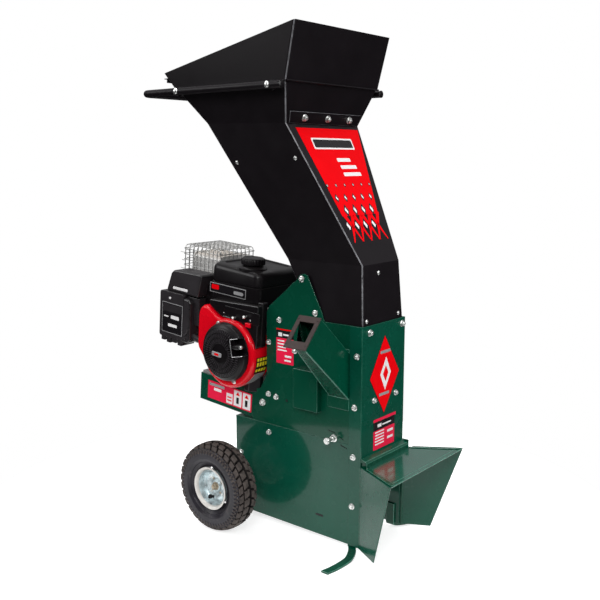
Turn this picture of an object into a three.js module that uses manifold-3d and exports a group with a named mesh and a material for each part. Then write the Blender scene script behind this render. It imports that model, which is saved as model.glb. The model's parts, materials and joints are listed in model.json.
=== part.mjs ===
// Petrol chipper shredder: wheeled sheet-metal stand, rotor housing, hopper, side chute and engine.
// Units are millimetres and +Z is up. The machine frame has X = 0 on the outer face of the front
// cover, with +X towards the discharge, Y = 0 on the middle plane with the side chute at -Y, and
// Z = 0 on the ground. The last lines move the whole machine so that the origin is at the bottom
// centre of its bounding box.
import * as THREE from 'three';
import { mergeVertices } from 'three/addons/utils/BufferGeometryUtils.js';
import Module from 'manifold-3d';

const wasm = await Module();
wasm.setup();

// ---------- driving dimensions ----------
const GAP = 0.3;
const SHEET = 3;

const STAND_LENGTH = 463;
const STAND_BOTTOM = 15;
const STAND_TOP = 303;
const COVER_HALF_WIDTH = 104.5;
const SIDE_OUTER = COVER_HALF_WIDTH - SHEET - GAP;
const SIDE_INNER = SIDE_OUTER - SHEET;
const COVER_TOP = 632;
const COVER_BOTTOM = 262;
const COVER_FLANGE = 40;
const LEG_THICKNESS = 6;
const LEG_REACH = 252;
const SOLE_START = 225;
const LEG_BOW = 20;

const WHEEL_X = -419;
const WHEEL_Y = 227;
const WHEEL_RADIUS = 130;
const TYRE_WIDTH = 85;
const RIM_RADIUS = 64.5;
const RIM_WELL_RADIUS = 48;
const AXLE_RADIUS = 8;
const WHEEL_SEGMENTS = 32;

const ROTOR_X = -180;
const ROTOR_Z = 450;
const ROTOR_RADIUS = 140;
const SHAFT_RADIUS = 12.5;
const BORE_RADIUS = SHAFT_RADIUS + GAP;
const HUB_RADIUS = 24;

const BELT_Y = 135;
const BELT_WIDTH = 10;
const BELT_DEPTH = 8;
const ROTOR_PULLEY_RADIUS = 54;
const ENGINE_PULLEY_RADIUS = 36;

const PIVOT_X = -354;
const PIVOT_Z = 363;
const PLATFORM_TILT = THREE.MathUtils.degToRad(4.6);
const PLATFORM_LEFT = -263;
const PLATFORM_RIGHT = 8;
const PLATFORM_TOP = 27;
const PLATFORM_DEPTH = 85;
const CRANK_X = -108;
const CRANK_Z = 139;

const CHUTE_SLOPE = THREE.MathUtils.degToRad(42);
const CHUTE_LEFT = -110;
const CHUTE_RIGHT = -41;
const CHUTE_TOP_Z = 556;
const CHUTE_DEPTH = 95;
const CHUTE_LENGTH = 168;
const CHUTE_WALL = 2.5;

const DEFLECTOR_HINGE_X = 10;
const DEFLECTOR_HINGE_Z = 249;
const HANDLE_RADIUS = 10;
const HANDLE_Z = 1253;
const HANDLE_REAR = -705;
const HANDLE_FRONT = -172;
const HANDLE_HALF_WIDTH = 223;
const LATCH_X = -92;
const LATCH_Z = 311;
const LATCH_RADIUS = 5;

// ---------- materials ----------
const finish = (color, roughness, metalness) =>
  new THREE.MeshStandardMaterial({ color, roughness, metalness });
const GREEN = finish(0x0d3f2e, 0.3, 0.1);
const BLACK_PAINT = finish(0x16161a, 0.45, 0.1);
const BLACK_PLASTIC = finish(0x1b1a1c, 0.5, 0);
const RED_PLASTIC = finish(0xd8102a, 0.35, 0);
const TYRE_RUBBER = finish(0x24242a, 0.9, 0);
const BROWN_RUBBER = finish(0x2c1f1e, 0.8, 0);
const ZINC = finish(0xb9bcc0, 0.35, 0.9);
const STEEL = finish(0x8d9096, 0.4, 0.9);
const CAST = finish(0x8e8f92, 0.55, 0.7);
const MUFFLER_STEEL = finish(0xa9a59c, 0.45, 0.85);
const BELT_RUBBER = finish(0x151515, 0.8, 0);

// ---------- solids ----------
function toSolid(geometry) {
  const bare = geometry.clone();
  bare.deleteAttribute('normal');
  bare.deleteAttribute('uv');
  const merged = mergeVertices(bare, 1e-4);
  return new wasm.Manifold(new wasm.Mesh({
    numProp: 3,
    vertProperties: merged.attributes.position.array,
    triVerts: new Uint32Array(merged.index.array),
  }));
}

function toGeometry(solid) {
  const mesh = solid.getMesh();
  const geometry = new THREE.BufferGeometry();
  geometry.setAttribute('position', new THREE.BufferAttribute(mesh.vertProperties, 3));
  geometry.setIndex(new THREE.BufferAttribute(mesh.triVerts, 1));
  geometry.computeVertexNormals();
  return geometry;
}

function join(...geometries) {
  return toGeometry(geometries.map(toSolid).reduce((whole, piece) => whole.add(piece)));
}

function cut(geometry, ...tools) {
  return toGeometry(tools.map(toSolid).reduce((whole, tool) => whole.subtract(tool), toSolid(geometry)));
}

function box(x0, x1, y0, y1, z0, z1) {
  const geometry = new THREE.BoxGeometry(x1 - x0, y1 - y0, z1 - z0);
  return geometry.translate((x0 + x1) / 2, (y0 + y1) / 2, (z0 + z1) / 2);
}

function shapeOf(points) {
  return new THREE.Shape(points.map(([a, b]) => new THREE.Vector2(a, b)));
}

function circleHole(shape, a, b, radius) {
  const hole = new THREE.Path();
  hole.absarc(a, b, radius, 0, 2 * Math.PI, true);
  shape.holes.push(hole);
  return shape;
}

// A shape drawn in X and Z, filling the Y range y0 to y1.
function alongY(shape, y0, y1, curveSegments = 16) {
  const geometry = new THREE.ExtrudeGeometry(shape, {
    depth: y1 - y0, bevelEnabled: false, curveSegments,
  });
  return geometry.rotateX(Math.PI / 2).translate(0, y1, 0);
}

// A shape drawn in Y and Z, filling the X range x0 to x1.
function alongX(shape, x0, x1, curveSegments = 16) {
  const geometry = new THREE.ExtrudeGeometry(shape, {
    depth: x1 - x0, bevelEnabled: false, curveSegments,
  });
  const turn = new THREE.Matrix4().set(0, 0, 1, x0, 1, 0, 0, 0, 0, 1, 0, 0, 0, 0, 0, 1);
  return geometry.applyMatrix4(turn);
}

function cylinderY(radius, y0, y1, x, z, segments = 32) {
  const geometry = new THREE.CylinderGeometry(radius, radius, y1 - y0, segments);
  return geometry.translate(x, (y0 + y1) / 2, z);
}

function cylinderZ(radius, z0, z1, x, y, segments = 32) {
  const geometry = new THREE.CylinderGeometry(radius, radius, z1 - z0, segments);
  return geometry.rotateX(Math.PI / 2).translate(x, y, (z0 + z1) / 2);
}

// A closed profile of [radius, y] points turned about a line along Y.
function turnedY(profile, x, z, segments = 40) {
  const points = profile.map(([radius, y]) => new THREE.Vector2(radius, y));
  return new THREE.LatheGeometry(points, segments).translate(x, 0, z);
}

function ringY(inner, outer, y0, y1, x, z, segments = 32) {
  const profile = [[inner, y0], [outer, y0], [outer, y1], [inner, y1], [inner, y0]];
  return turnedY(profile, x, z, segments);
}

function roundedRectangle(a0, a1, b0, b1, radius) {
  const shape = new THREE.Shape();
  shape.moveTo(a0 + radius, b0);
  shape.lineTo(a1 - radius, b0);
  shape.absarc(a1 - radius, b0 + radius, radius, -Math.PI / 2, 0);
  shape.lineTo(a1, b1 - radius);
  shape.absarc(a1 - radius, b1 - radius, radius, 0, Math.PI / 2);
  shape.lineTo(a0 + radius, b1);
  shape.absarc(a0 + radius, b1 - radius, radius, Math.PI / 2, Math.PI);
  shape.lineTo(a0, b0 + radius);
  shape.absarc(a0 + radius, b0 + radius, radius, Math.PI, 1.5 * Math.PI);
  return shape;
}

function disc(a, b, radius) {
  const shape = new THREE.Shape();
  shape.absarc(a, b, radius, 0, 2 * Math.PI);
  return shape;
}

// The outline of a belt round two wheels that both turn the same way.
function beltOutline(first, second, path = new THREE.Shape()) {
  const heading = Math.atan2(second.z - first.z, second.x - first.x);
  const distance = Math.hypot(second.x - first.x, second.z - first.z);
  const lean = Math.acos((first.radius - second.radius) / distance);
  path.absarc(first.x, first.z, first.radius, heading + lean, heading + 2 * Math.PI - lean);
  path.absarc(second.x, second.z, second.radius, heading - lean, heading + lean);
  path.closePath();
  return path;
}

// A tube of four flat walls. Each level gives its front and rear X, half width and heights.
function squareDuct(levels, wall) {
  const corners = (level, inset) => [
    [level.front - inset, inset - level.half, level.frontZ],
    [level.front - inset, level.half - inset, level.frontZ],
    [level.rear + inset, level.half - inset, level.rearZ],
    [level.rear + inset, inset - level.half, level.rearZ],
  ];
  const rings = [...levels.map((level) => corners(level, 0)),
    ...levels.toReversed().map((level) => corners(level, wall))];
  const positions = rings.flat(2);
  const indices = [];
  rings.forEach((_, i) => {
    const next = (i + 1) % rings.length;
    for (let k = 0; k < 4; k += 1) {
      const a = i * 4 + k;
      const b = i * 4 + (k + 1) % 4;
      const c = next * 4 + (k + 1) % 4;
      const d = next * 4 + k;
      indices.push(a, b, c, a, c, d);
    }
  });
  const geometry = new THREE.BufferGeometry();
  geometry.setAttribute('position', new THREE.Float32BufferAttribute(positions, 3));
  geometry.setIndex(indices);
  geometry.computeVertexNormals();
  return geometry;
}

// ---------- assembly helpers ----------
const machine = new THREE.Group();
const engine = new THREE.Group();
engine.position.set(PIVOT_X, 0, PIVOT_Z);
engine.rotation.y = PLATFORM_TILT;
machine.add(engine);

function add(name, geometry, material, parent = machine) {
  const mesh = new THREE.Mesh(geometry, material);
  mesh.name = name;
  parent.add(mesh);
  return mesh;
}

// Builds one piece for the near side (-Y) and its mirror image for the far side (+Y).
function mirrored(geometry) {
  const copy = geometry.clone();
  copy.scale(1, -1, 1);
  const order = copy.index ? copy.index.array : null;
  if (order) {
    for (let i = 0; i < order.length; i += 3) [order[i], order[i + 1]] = [order[i + 1], order[i]];
    return copy;
  }
  const merged = mergeVertices(copy);
  const faces = merged.index.array;
  for (let i = 0; i < faces.length; i += 3) [faces[i], faces[i + 1]] = [faces[i + 1], faces[i]];
  return merged;
}

// ---------- stand ----------
function standSide() {
  const shape = shapeOf([
    [-STAND_LENGTH, STAND_BOTTOM], [-SHEET - GAP, STAND_BOTTOM],
    [-SHEET - GAP, STAND_TOP], [-STAND_LENGTH, STAND_TOP],
  ]);
  circleHole(shape, WHEEL_X, WHEEL_RADIUS, AXLE_RADIUS + GAP);
  return alongY(shape, -SIDE_OUTER, -SIDE_INNER);
}

function standBack() {
  const left = -STAND_LENGTH;
  const shape = shapeOf([
    [left, STAND_BOTTOM], [left + SHEET, STAND_BOTTOM], [left + SHEET, STAND_TOP - SHEET],
    [-346, STAND_TOP - SHEET], [-346, STAND_TOP], [left, STAND_TOP],
  ]);
  return alongY(shape, GAP - SIDE_INNER, SIDE_INNER - GAP);
}

function frontCover() {
  const inner = COVER_HALF_WIDTH - SHEET;
  return join(
    box(-SHEET, 0, -COVER_HALF_WIDTH, COVER_HALF_WIDTH, COVER_BOTTOM, COVER_TOP),
    box(-COVER_FLANGE, 0, -COVER_HALF_WIDTH, -inner, STAND_BOTTOM, COVER_TOP),
    box(-COVER_FLANGE, 0, inner, COVER_HALF_WIDTH, STAND_BOTTOM, COVER_TOP),
  );
}

// A flat bar, bolted inside the stand's side, bent out to a flat sole on the ground and bowed forward.
function leg() {
  const half = LEG_THICKNESS / 2;
  const y = half + GAP - SIDE_INNER;
  const bend = new THREE.CatmullRomCurve3([
    [y, 74], [y, 30], [y, 17], [y - 0.9, 11.6], [y - 4.6, 8.8], [y - 16, 7.6],
    [-150, 5.8], [-200, 3.8], [-SOLE_START, half],
  ].map((point) => new THREE.Vector3(0, ...point)));
  const line = [...bend.getPoints(32), new THREE.Vector3(0, -LEG_REACH, half)];
  const edge = (offset) => line.map((point, i) => {
    const onSole = i > line.length - 3;
    const along = onSole ? new THREE.Vector3(0, -1, 0) : line[i + 1].clone().sub(point).normalize();
    return [point.y - along.z * offset, point.z + along.y * offset];
  });
  const bar = alongX(shapeOf([...edge(half), ...edge(-half).reverse()]), -36, -6);
  const place = bar.getAttribute('position');
  for (let i = 0; i < place.count; i += 1) {
    const reach = Math.max(0, -place.getY(i) - SIDE_INNER) / (LEG_REACH - SIDE_INNER);
    place.setX(i, place.getX(i) + LEG_BOW * Math.sin(2.6 * reach ** 0.7));
  }
  return bar;
}

const standPieces = [['stand_side', standSide(), GREEN], ['leg', leg(), GREEN]];
standPieces.forEach(([name, geometry, material]) => {
  add(`${name}_near`, geometry, material);
  add(`${name}_far`, mirrored(geometry), material);
});
add('stand_back', standBack(), GREEN);
add('front_cover', frontCover(), GREEN);

// ---------- wheels ----------
function tyre(side) {
  const half = TYRE_WIDTH / 2;
  const tread = WHEEL_RADIUS;
  const bead = RIM_WELL_RADIUS + 6;
  const profile = [
    [bead, -half + 18], [RIM_RADIUS + 3, -half + 6], [RIM_RADIUS + 24, -half],
    [tread - 22, -half], [tread - 7, -half + 8], [tread, 0], [tread - 7, half - 8],
    [tread - 22, half], [RIM_RADIUS + 24, half], [RIM_RADIUS + 3, half - 6], [bead, half - 18],
    [bead, half - 26], [tread - 24, half - 14], [tread - 24, 14 - half], [bead, 26 - half],
    [bead, -half + 18],
  ];
  const placed = profile.map(([r, y]) => [r, y + side * WHEEL_Y]);
  return turnedY(placed, WHEEL_X, WHEEL_RADIUS, WHEEL_SEGMENTS);
}

// A pressed steel rim: two flanges, a drop centre, a wheel disc and a hub tube for the axle.
function rim(side) {
  const edge = TYRE_WIDTH / 2 - 2.5;
  const well = RIM_WELL_RADIUS;
  const bore = AXLE_RADIUS + GAP;
  const profile = [
    [bore, -30], [16, -30], [16, -4], [well - 4, -2], [well, -edge + 8], [RIM_RADIUS, -edge],
    [well + 4.5, -edge + 13], [well, 0], [well + 4.5, edge - 13], [RIM_RADIUS, edge],
    [well, edge - 8], [well - 4, 2], [16, 4], [16, 30], [bore, 30], [bore, -30],
  ];
  const placed = profile.map(([r, y]) => [r, y + side * WHEEL_Y]);
  return turnedY(placed, WHEEL_X, WHEEL_RADIUS, WHEEL_SEGMENTS);
}

[['near', -1], ['far', 1]].forEach(([end, side]) => {
  add(`tyre_${end}`, tyre(side), TYRE_RUBBER);
  add(`rim_${end}`, rim(side), ZINC);
});
const axleEnd = WHEEL_Y + 36;
add('axle', cylinderY(AXLE_RADIUS, -axleEnd, axleEnd, WHEEL_X, WHEEL_RADIUS, 24), ZINC);

// ---------- rotor housing ----------
function housingOutline() {
  return shapeOf([
    [-SHEET - GAP, STAND_TOP + GAP], [-SHEET - GAP, COVER_TOP], [-128, COVER_TOP], [-137, 656],
    [-187, 753], [-197, 757], [-212, 753], [-224, 738], [-327, 653], [-336, 635],
    [-338, 449], [-363, 405], [-394, 396], [-394, STAND_TOP + GAP],
  ]);
}

const shaftHole = SHAFT_RADIUS + 3;
const nearPlate = circleHole(housingOutline(), ROTOR_X, ROTOR_Z, shaftHole);
circleHole(nearPlate, LATCH_X, LATCH_Z, LATCH_RADIUS + GAP);
const chuteBottomZ = CHUTE_TOP_Z - CHUTE_DEPTH / Math.cos(CHUTE_SLOPE);
nearPlate.holes.push(new THREE.Path([
  [CHUTE_LEFT + 4, chuteBottomZ + 6], [CHUTE_LEFT + 4, CHUTE_TOP_Z - 6],
  [CHUTE_RIGHT - 4, CHUTE_TOP_Z - 6], [CHUTE_RIGHT - 4, chuteBottomZ + 6],
].map(([x, z]) => new THREE.Vector2(x, z))));
add('housing_plate_near', alongY(nearPlate, -SIDE_OUTER, -SIDE_INNER), GREEN);

const farPlate = circleHole(housingOutline(), ROTOR_X, ROTOR_Z, shaftHole);
add('housing_plate_far', alongY(farPlate, SIDE_INNER, SIDE_OUTER), GREEN);

// The bent sheet that closes the housing behind the rotor, from the hopper to the stand.
const rimOuter = [[-240, 729], [-325, 650], [-333, 634], [-334, 450], [-343, STAND_TOP + GAP]];
const rimInner = [[-340, STAND_TOP + GAP], [-331, 450], [-330, 632], [-322.5, 647.5], [-238, 727]];
add('housing_back', alongY(shapeOf([...rimOuter, ...rimInner]), GAP - SIDE_INNER, SIDE_INNER - GAP), GREEN);

// A curved grate under the rotor: only pieces small enough fall through to the discharge.
function dischargeScreen() {
  const radius = ROTOR_RADIUS + 8;
  const from = THREE.MathUtils.degToRad(200);
  const to = THREE.MathUtils.degToRad(338);
  const shape = new THREE.Shape();
  shape.absarc(0, 0, radius + 4, from, to, false);
  shape.absarc(0, 0, radius, to, from, true);
  const plate = alongY(shape, 2 * GAP - SIDE_INNER, SIDE_INNER - 2 * GAP, 20)
    .translate(ROTOR_X, 0, ROTOR_Z);
  const slots = [];
  for (let i = 0; i < 6; i += 1) {
    const angle = THREE.MathUtils.lerp(from, to, (i + 0.8) / 6.6);
    const slot = box(radius - 12, radius + 16, -80, 80, -9, 9);
    slots.push(slot.rotateY(-angle).translate(ROTOR_X, 0, ROTOR_Z));
  }
  return cut(plate, ...slots);
}
add('discharge_screen', dischargeScreen(), STEEL);

// ---------- side chute for branches ----------
const chuteOut = new THREE.Vector2(-Math.cos(CHUTE_SLOPE), Math.sin(CHUTE_SLOPE));
const chuteDown = new THREE.Vector2(-Math.sin(CHUTE_SLOPE), -Math.cos(CHUTE_SLOPE));
const chuteFace = -SIDE_OUTER - GAP;
const chuteTop = new THREE.Vector2(chuteFace, CHUTE_TOP_Z);

// A point of the chute's side view, a distance out along the chute and a depth below its top wall.
function chutePoint(out, depth) {
  const point = chuteTop.clone().addScaledVector(chuteOut, out).addScaledVector(chuteDown, depth);
  return [point.x, point.y];
}

function chute() {
  const outer = shapeOf([
    [chuteFace, CHUTE_TOP_Z], chutePoint(CHUTE_LENGTH, 0),
    chutePoint(CHUTE_LENGTH, CHUTE_DEPTH), [chuteFace, chuteBottomZ],
  ]);
  const wall = CHUTE_WALL;
  const inner = shapeOf([
    chutePoint(-200, wall), chutePoint(CHUTE_LENGTH + 50, wall),
    chutePoint(CHUTE_LENGTH + 50, CHUTE_DEPTH - wall), chutePoint(-200, CHUTE_DEPTH - wall),
  ]);
  const flange = box(CHUTE_LEFT - 3, CHUTE_RIGHT, chuteFace - SHEET, chuteFace, 398, CHUTE_TOP_Z + 12);
  const tube = join(alongX(outer, CHUTE_LEFT, CHUTE_RIGHT), flange);
  return cut(tube, alongX(inner, CHUTE_LEFT + wall, CHUTE_RIGHT - wall));
}
add('chipper_chute', chute(), GREEN);

// The rubber frame over the chute's mouth.
function chuteMouthRubber() {
  const edge = 1.5;
  const margin = 17;
  const section = (depth0, depth1) => shapeOf([
    chutePoint(CHUTE_LENGTH + GAP, depth0), chutePoint(CHUTE_LENGTH + 4, depth0),
    chutePoint(CHUTE_LENGTH + 4, depth1), chutePoint(CHUTE_LENGTH + GAP, depth1),
  ]);
  const plate = alongX(section(-edge, CHUTE_DEPTH + edge), CHUTE_LEFT - edge, CHUTE_RIGHT + edge);
  const opening = shapeOf([
    chutePoint(CHUTE_LENGTH - 9, margin), chutePoint(CHUTE_LENGTH + 9, margin),
    chutePoint(CHUTE_LENGTH + 9, CHUTE_DEPTH - margin - 4),
    chutePoint(CHUTE_LENGTH - 9, CHUTE_DEPTH - margin - 4),
  ]);
  return cut(plate, alongX(opening, CHUTE_LEFT + 11, CHUTE_RIGHT - 11));
}
add('chute_mouth_rubber', chuteMouthRubber(), BROWN_RUBBER);

function bearingCover() {
  const outer = box(-223, -137, -120.5, chuteFace, 378, 491);
  return cut(outer, box(-220.5, -139.5, -118, chuteFace + 5, 380.5, 488.5));
}
add('bearing_cover', bearingCover(), GREEN);

// ---------- rotor ----------
const rotorLine = [ROTOR_X, ROTOR_Z];
const shaftNear = -115;
const shaftFar = 150;
add('rotor_shaft', cylinderY(SHAFT_RADIUS, shaftNear, shaftFar, ...rotorLine), STEEL);

const bearingProfile = [
  [BORE_RADIUS, 0], [36, 0], [36, 4], [22, 6], [22, 12], [BORE_RADIUS, 12], [BORE_RADIUS, 0],
];
const bearingSeat = SIDE_OUTER + GAP;
const farProfile = bearingProfile.map(([r, y]) => [r, y + bearingSeat]);
const nearProfile = bearingProfile.toReversed().map(([r, y]) => [r, -y - bearingSeat]);
add('bearing_far', turnedY(farProfile, ...rotorLine, 24), CAST);
add('bearing_near', turnedY(nearProfile, ...rotorLine, 24), CAST);

const DISC_Y = -84;
const DISC_THICKNESS = 10;
const KNIFE_THICKNESS = 5;
function rotorDisc() {
  const disc = ringY(BORE_RADIUS, ROTOR_RADIUS - 4, DISC_Y, DISC_Y + DISC_THICKNESS, ...rotorLine, 48);
  const slots = [0, 1].map((i) => {
    const slot = box(58, 128, DISC_Y - 5, DISC_Y + 15, 18, 34);
    return slot.rotateY(i * Math.PI).translate(ROTOR_X, 0, ROTOR_Z);
  });
  return cut(disc, ...slots);
}
add('rotor_disc', rotorDisc(), STEEL);

[0, 1].forEach((i) => {
  const y1 = DISC_Y - GAP;
  const blade = shapeOf([[56, -14], [130, -14], [130, 20], [56, 20]]);
  const knife = alongY(blade, y1 - KNIFE_THICKNESS, y1);
  knife.rotateY(i * Math.PI).translate(ROTOR_X, 0, ROTOR_Z);
  add(`chipper_knife_${i + 1}`, knife, STEEL);
});

add('rotor_hub', ringY(BORE_RADIUS, HUB_RADIUS, DISC_Y + DISC_THICKNESS + GAP, 88, ...rotorLine), STEEL);

// The shredding blades are bars with a boss that fits over the hub, set at right angles.
[0, 1].forEach((i) => {
  const y0 = -34 + 66 * i;
  const bar = join(cylinderY(HUB_RADIUS + 10, y0, y0 + 10, 0, 0),
    box(18 - ROTOR_RADIUS, ROTOR_RADIUS - 18, y0, y0 + 10, -19, 19));
  const blade = cut(bar, cylinderY(HUB_RADIUS + GAP, y0 - 5, y0 + 15, 0, 0));
  blade.rotateY(i * Math.PI / 2).translate(ROTOR_X, 0, ROTOR_Z);
  add(`shredder_blade_${i + 1}`, blade, STEEL);
});

// ---------- belt drive ----------
const crankWorld = new THREE.Vector3(CRANK_X, 0, CRANK_Z)
  .applyAxisAngle(new THREE.Vector3(0, 1, 0), PLATFORM_TILT)
  .add(new THREE.Vector3(PIVOT_X, 0, PIVOT_Z));

function pulley(grooveRadius, x, z) {
  const half = BELT_WIDTH / 2;
  const lip = grooveRadius + BELT_DEPTH;
  return turnedY([
    [BORE_RADIUS, BELT_Y - half - 5], [lip, BELT_Y - half - 5], [lip, BELT_Y - half - 1],
    [grooveRadius, BELT_Y - half - GAP], [grooveRadius, BELT_Y + half + GAP],
    [lip, BELT_Y + half + 1], [lip, BELT_Y + half + 5], [BORE_RADIUS, BELT_Y + half + 5],
    [BORE_RADIUS, BELT_Y - half - 5],
  ], x, z, 28);
}
add('rotor_pulley', pulley(ROTOR_PULLEY_RADIUS, ...rotorLine), CAST);

function beltSpan(extra) {
  return [
    { x: ROTOR_X, z: ROTOR_Z, radius: ROTOR_PULLEY_RADIUS + extra },
    { x: crankWorld.x, z: crankWorld.z, radius: ENGINE_PULLEY_RADIUS + extra },
  ];
}

const beltShape = beltOutline(...beltSpan(GAP + BELT_DEPTH - 2));
beltShape.holes.push(beltOutline(...beltSpan(GAP), new THREE.Path()));
add('drive_belt', alongY(beltShape, BELT_Y - BELT_WIDTH / 2, BELT_Y + BELT_WIDTH / 2, 14), BELT_RUBBER);

function beltGuard() {
  const y0 = COVER_HALF_WIDTH + GAP;
  const outer = alongY(beltOutline(...beltSpan(36)), y0, y0 + 56, 14);
  const inner = alongY(beltOutline(...beltSpan(33.5)), y0 - 5, y0 + 53.5, 14);
  return cut(outer, inner);
}
add('belt_guard', beltGuard(), BLACK_PAINT);

// ---------- discharge deflector ----------
const DEFLECTOR_TOP_Z = 251;
const panelFoot = { x: 74, y: 146 };
const panelTip = { x: 149, y: 185, z: 257 };

// A flat panel on the vertical plane that flares out from the stand's front corner.
function deflectorSide() {
  const hinge = new THREE.Vector2(1, COVER_HALF_WIDTH);
  const reach = new THREE.Vector2(panelTip.x - hinge.x, panelTip.y - hinge.y);
  const flare = Math.atan2(reach.y, reach.x);
  const footReach = (panelFoot.x - hinge.x) / Math.cos(flare);
  const shape = shapeOf([
    [0, STAND_BOTTOM], [footReach, STAND_BOTTOM], [reach.length(), panelTip.z], [0, DEFLECTOR_TOP_Z],
  ]);
  return alongY(shape, 0, SHEET).rotateZ(-flare).translate(hinge.x, -hinge.y - SHEET, 0);
}
const deflectorPanel = deflectorSide();
add('deflector_side_near', deflectorPanel, GREEN);
add('deflector_side_far', mirrored(deflectorPanel), GREEN);

function deflectorTop() {
  const rise = Math.atan2(panelTip.z - DEFLECTOR_TOP_Z, panelTip.x);
  const slant = (panelTip.y - COVER_HALF_WIDTH) / (panelTip.x - 1);
  const x1 = panelTip.x / Math.cos(rise);
  const rearX = DEFLECTOR_HINGE_X;
  const halfAt = (x) => COVER_HALF_WIDTH + slant * (x - 1) - 1.2;
  const shape = shapeOf([
    [rearX + 16, -halfAt(rearX + 16)], [x1, -halfAt(panelTip.x)],
    [x1, halfAt(panelTip.x)], [rearX + 16, halfAt(rearX + 16)],
    [rearX + 16, 96], [rearX, 96], [rearX, -96], [rearX + 16, -96],
  ]);
  const plate = new THREE.ExtrudeGeometry(shape, { depth: 2.5, bevelEnabled: false });
  plate.rotateY(-rise).translate(0, 0, DEFLECTOR_TOP_Z - 2.5);
  const x = DEFLECTOR_HINGE_X;
  const z = DEFLECTOR_HINGE_Z;
  const barrel = cylinderY(6, -96, 96, x, z, 20);
  return cut(join(plate, barrel), cylinderY(4 + GAP, -130, 130, x, z, 20));
}
add('deflector_top', deflectorTop(), GREEN);

// The small roof over the deflector's rear edge. The hinge rod is welded into its two cheeks.
function hood() {
  const roof = alongY(shapeOf([
    [GAP, 262.5], [GAP, 271], [15, 266], [18, 259.5], [16, 258.5], [13, 263.5],
  ]), -COVER_HALF_WIDTH, COVER_HALF_WIDTH);
  const cheek = (y0, y1) => box(GAP, 16, y0, y1, 242, 264);
  const rod = cylinderY(4, -99, 99, DEFLECTOR_HINGE_X, DEFLECTOR_HINGE_Z, 20);
  return join(roof, cheek(97, 100), cheek(-100, -97), rod);
}
add('deflector_hood', hood(), GREEN);

// ---------- hopper and handle ----------
const HOPPER_WALL = 2.5;
const funnelLevels = [
  { front: -3.5, rear: -172, half: 97.5, frontZ: COVER_TOP + 1, rearZ: COVER_TOP + 1 },
  { front: -13, rear: -270, half: 89, frontZ: 792, rearZ: 792 },
  { front: -210, rear: -503, half: 163, frontZ: 1160, rearZ: 1165 },
  { front: -176, rear: -582, half: 204.5, frontZ: 1262, rearZ: 1262 },
];
add('hopper_funnel', squareDuct(funnelLevels, HOPPER_WALL), BLACK_PAINT);

const collarLevels = [
  { front: -173, rear: -586, half: 208, frontZ: 1263, rearZ: 1263 },
  { front: -138, rear: -622, half: 214, frontZ: 1407, rearZ: 1306 },
];
add('hopper_collar', squareDuct(collarLevels, HOPPER_WALL), BLACK_PAINT);

function handle() {
  const y = HANDLE_HALF_WIDTH;
  const bend = 34;
  const rear = HANDLE_REAR;
  const corner = (side) => {
    const points = [];
    for (let i = 0; i <= 6; i += 1) {
      const angle = (Math.PI / 2) * (i / 6);
      points.push(new THREE.Vector3(rear + bend - bend * Math.sin(angle),
        side * (y - bend + bend * Math.cos(angle)), HANDLE_Z));
    }
    return points;
  };
  const near = corner(-1);
  const far = corner(1).reverse();
  const points = [new THREE.Vector3(HANDLE_FRONT, -y, HANDLE_Z), ...near, ...far,
    new THREE.Vector3(HANDLE_FRONT, y, HANDLE_Z)];
  const section = new THREE.Shape();
  section.absarc(0, 0, HANDLE_RADIUS, 0, 2 * Math.PI);
  const tube = new THREE.CatmullRomCurve3(points, false, 'centripetal');
  return new THREE.ExtrudeGeometry(section, { steps: 48, curveSegments: 4, extrudePath: tube });
}
add('push_handle', handle(), BLACK_PAINT);

// ---------- engine platform ----------
function platform() {
  const half = SIDE_INNER - GAP;
  const z0 = PLATFORM_TOP - PLATFORM_DEPTH;
  return join(
    box(PLATFORM_LEFT, PLATFORM_RIGHT, -half, half, PLATFORM_TOP - SHEET, PLATFORM_TOP),
    box(PLATFORM_LEFT, PLATFORM_RIGHT, -half, SHEET - half, z0, PLATFORM_TOP),
    box(PLATFORM_LEFT, PLATFORM_RIGHT, half - SHEET, half, z0, PLATFORM_TOP),
  );
}
add('engine_platform', platform(), GREEN, engine);

// ---------- engine ----------
const BASE = PLATFORM_TOP + GAP;
const crankLine = [CRANK_X, CRANK_Z];

const FILLER_X = -10;
const FILLER_Y = -45;
function crankcase() {
  const body = alongY(roundedRectangle(-190, -30, BASE + 2, 236, 24), -72, 72, 4);
  const foot = cut(box(-259, -20, -94, 84, BASE, BASE + 7),
    box(-158, -58, -110, -75, BASE - 5, BASE + 12));
  const filler = cylinderZ(15, BASE + 12, BASE + 62, FILLER_X, FILLER_Y, 20);
  const fillerArm = box(-60, FILLER_X, FILLER_Y - 9, FILLER_Y + 9, BASE + 14, BASE + 44);
  const bearingBoss = cylinderY(42, 60, 96, ...crankLine, 32);
  const sump = alongY(roundedRectangle(-182, -38, BASE + 10, 228, 16), -64, 64, 4);
  return cut(join(body, foot, filler, fillerArm, bearingBoss), sump,
    cylinderY(BORE_RADIUS, -100, 120, ...crankLine, 32),
    cylinderZ(10, BASE + 40, BASE + 80, FILLER_X, FILLER_Y, 20));
}
add('crankcase', crankcase(), CAST, engine);

// A finned block with its bore along X.
function cylinder() {
  const pieces = [box(-300, -190 - GAP, -46, 46, 104, 236)];
  for (let i = 0; i < 7; i += 1) {
    const x = -292 + 15 * i;
    pieces.push(box(x, x + 4, -60, 60, 92, 250));
  }
  return cut(join(...pieces), alongX(disc(0, 172, 34), -310, -180, 12));
}
add('cylinder', cylinder(), CAST, engine);
add('cylinder_head', alongY(roundedRectangle(-346, -300 - GAP, 100, 244, 10), -58, 58, 4), CAST, engine);

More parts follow.
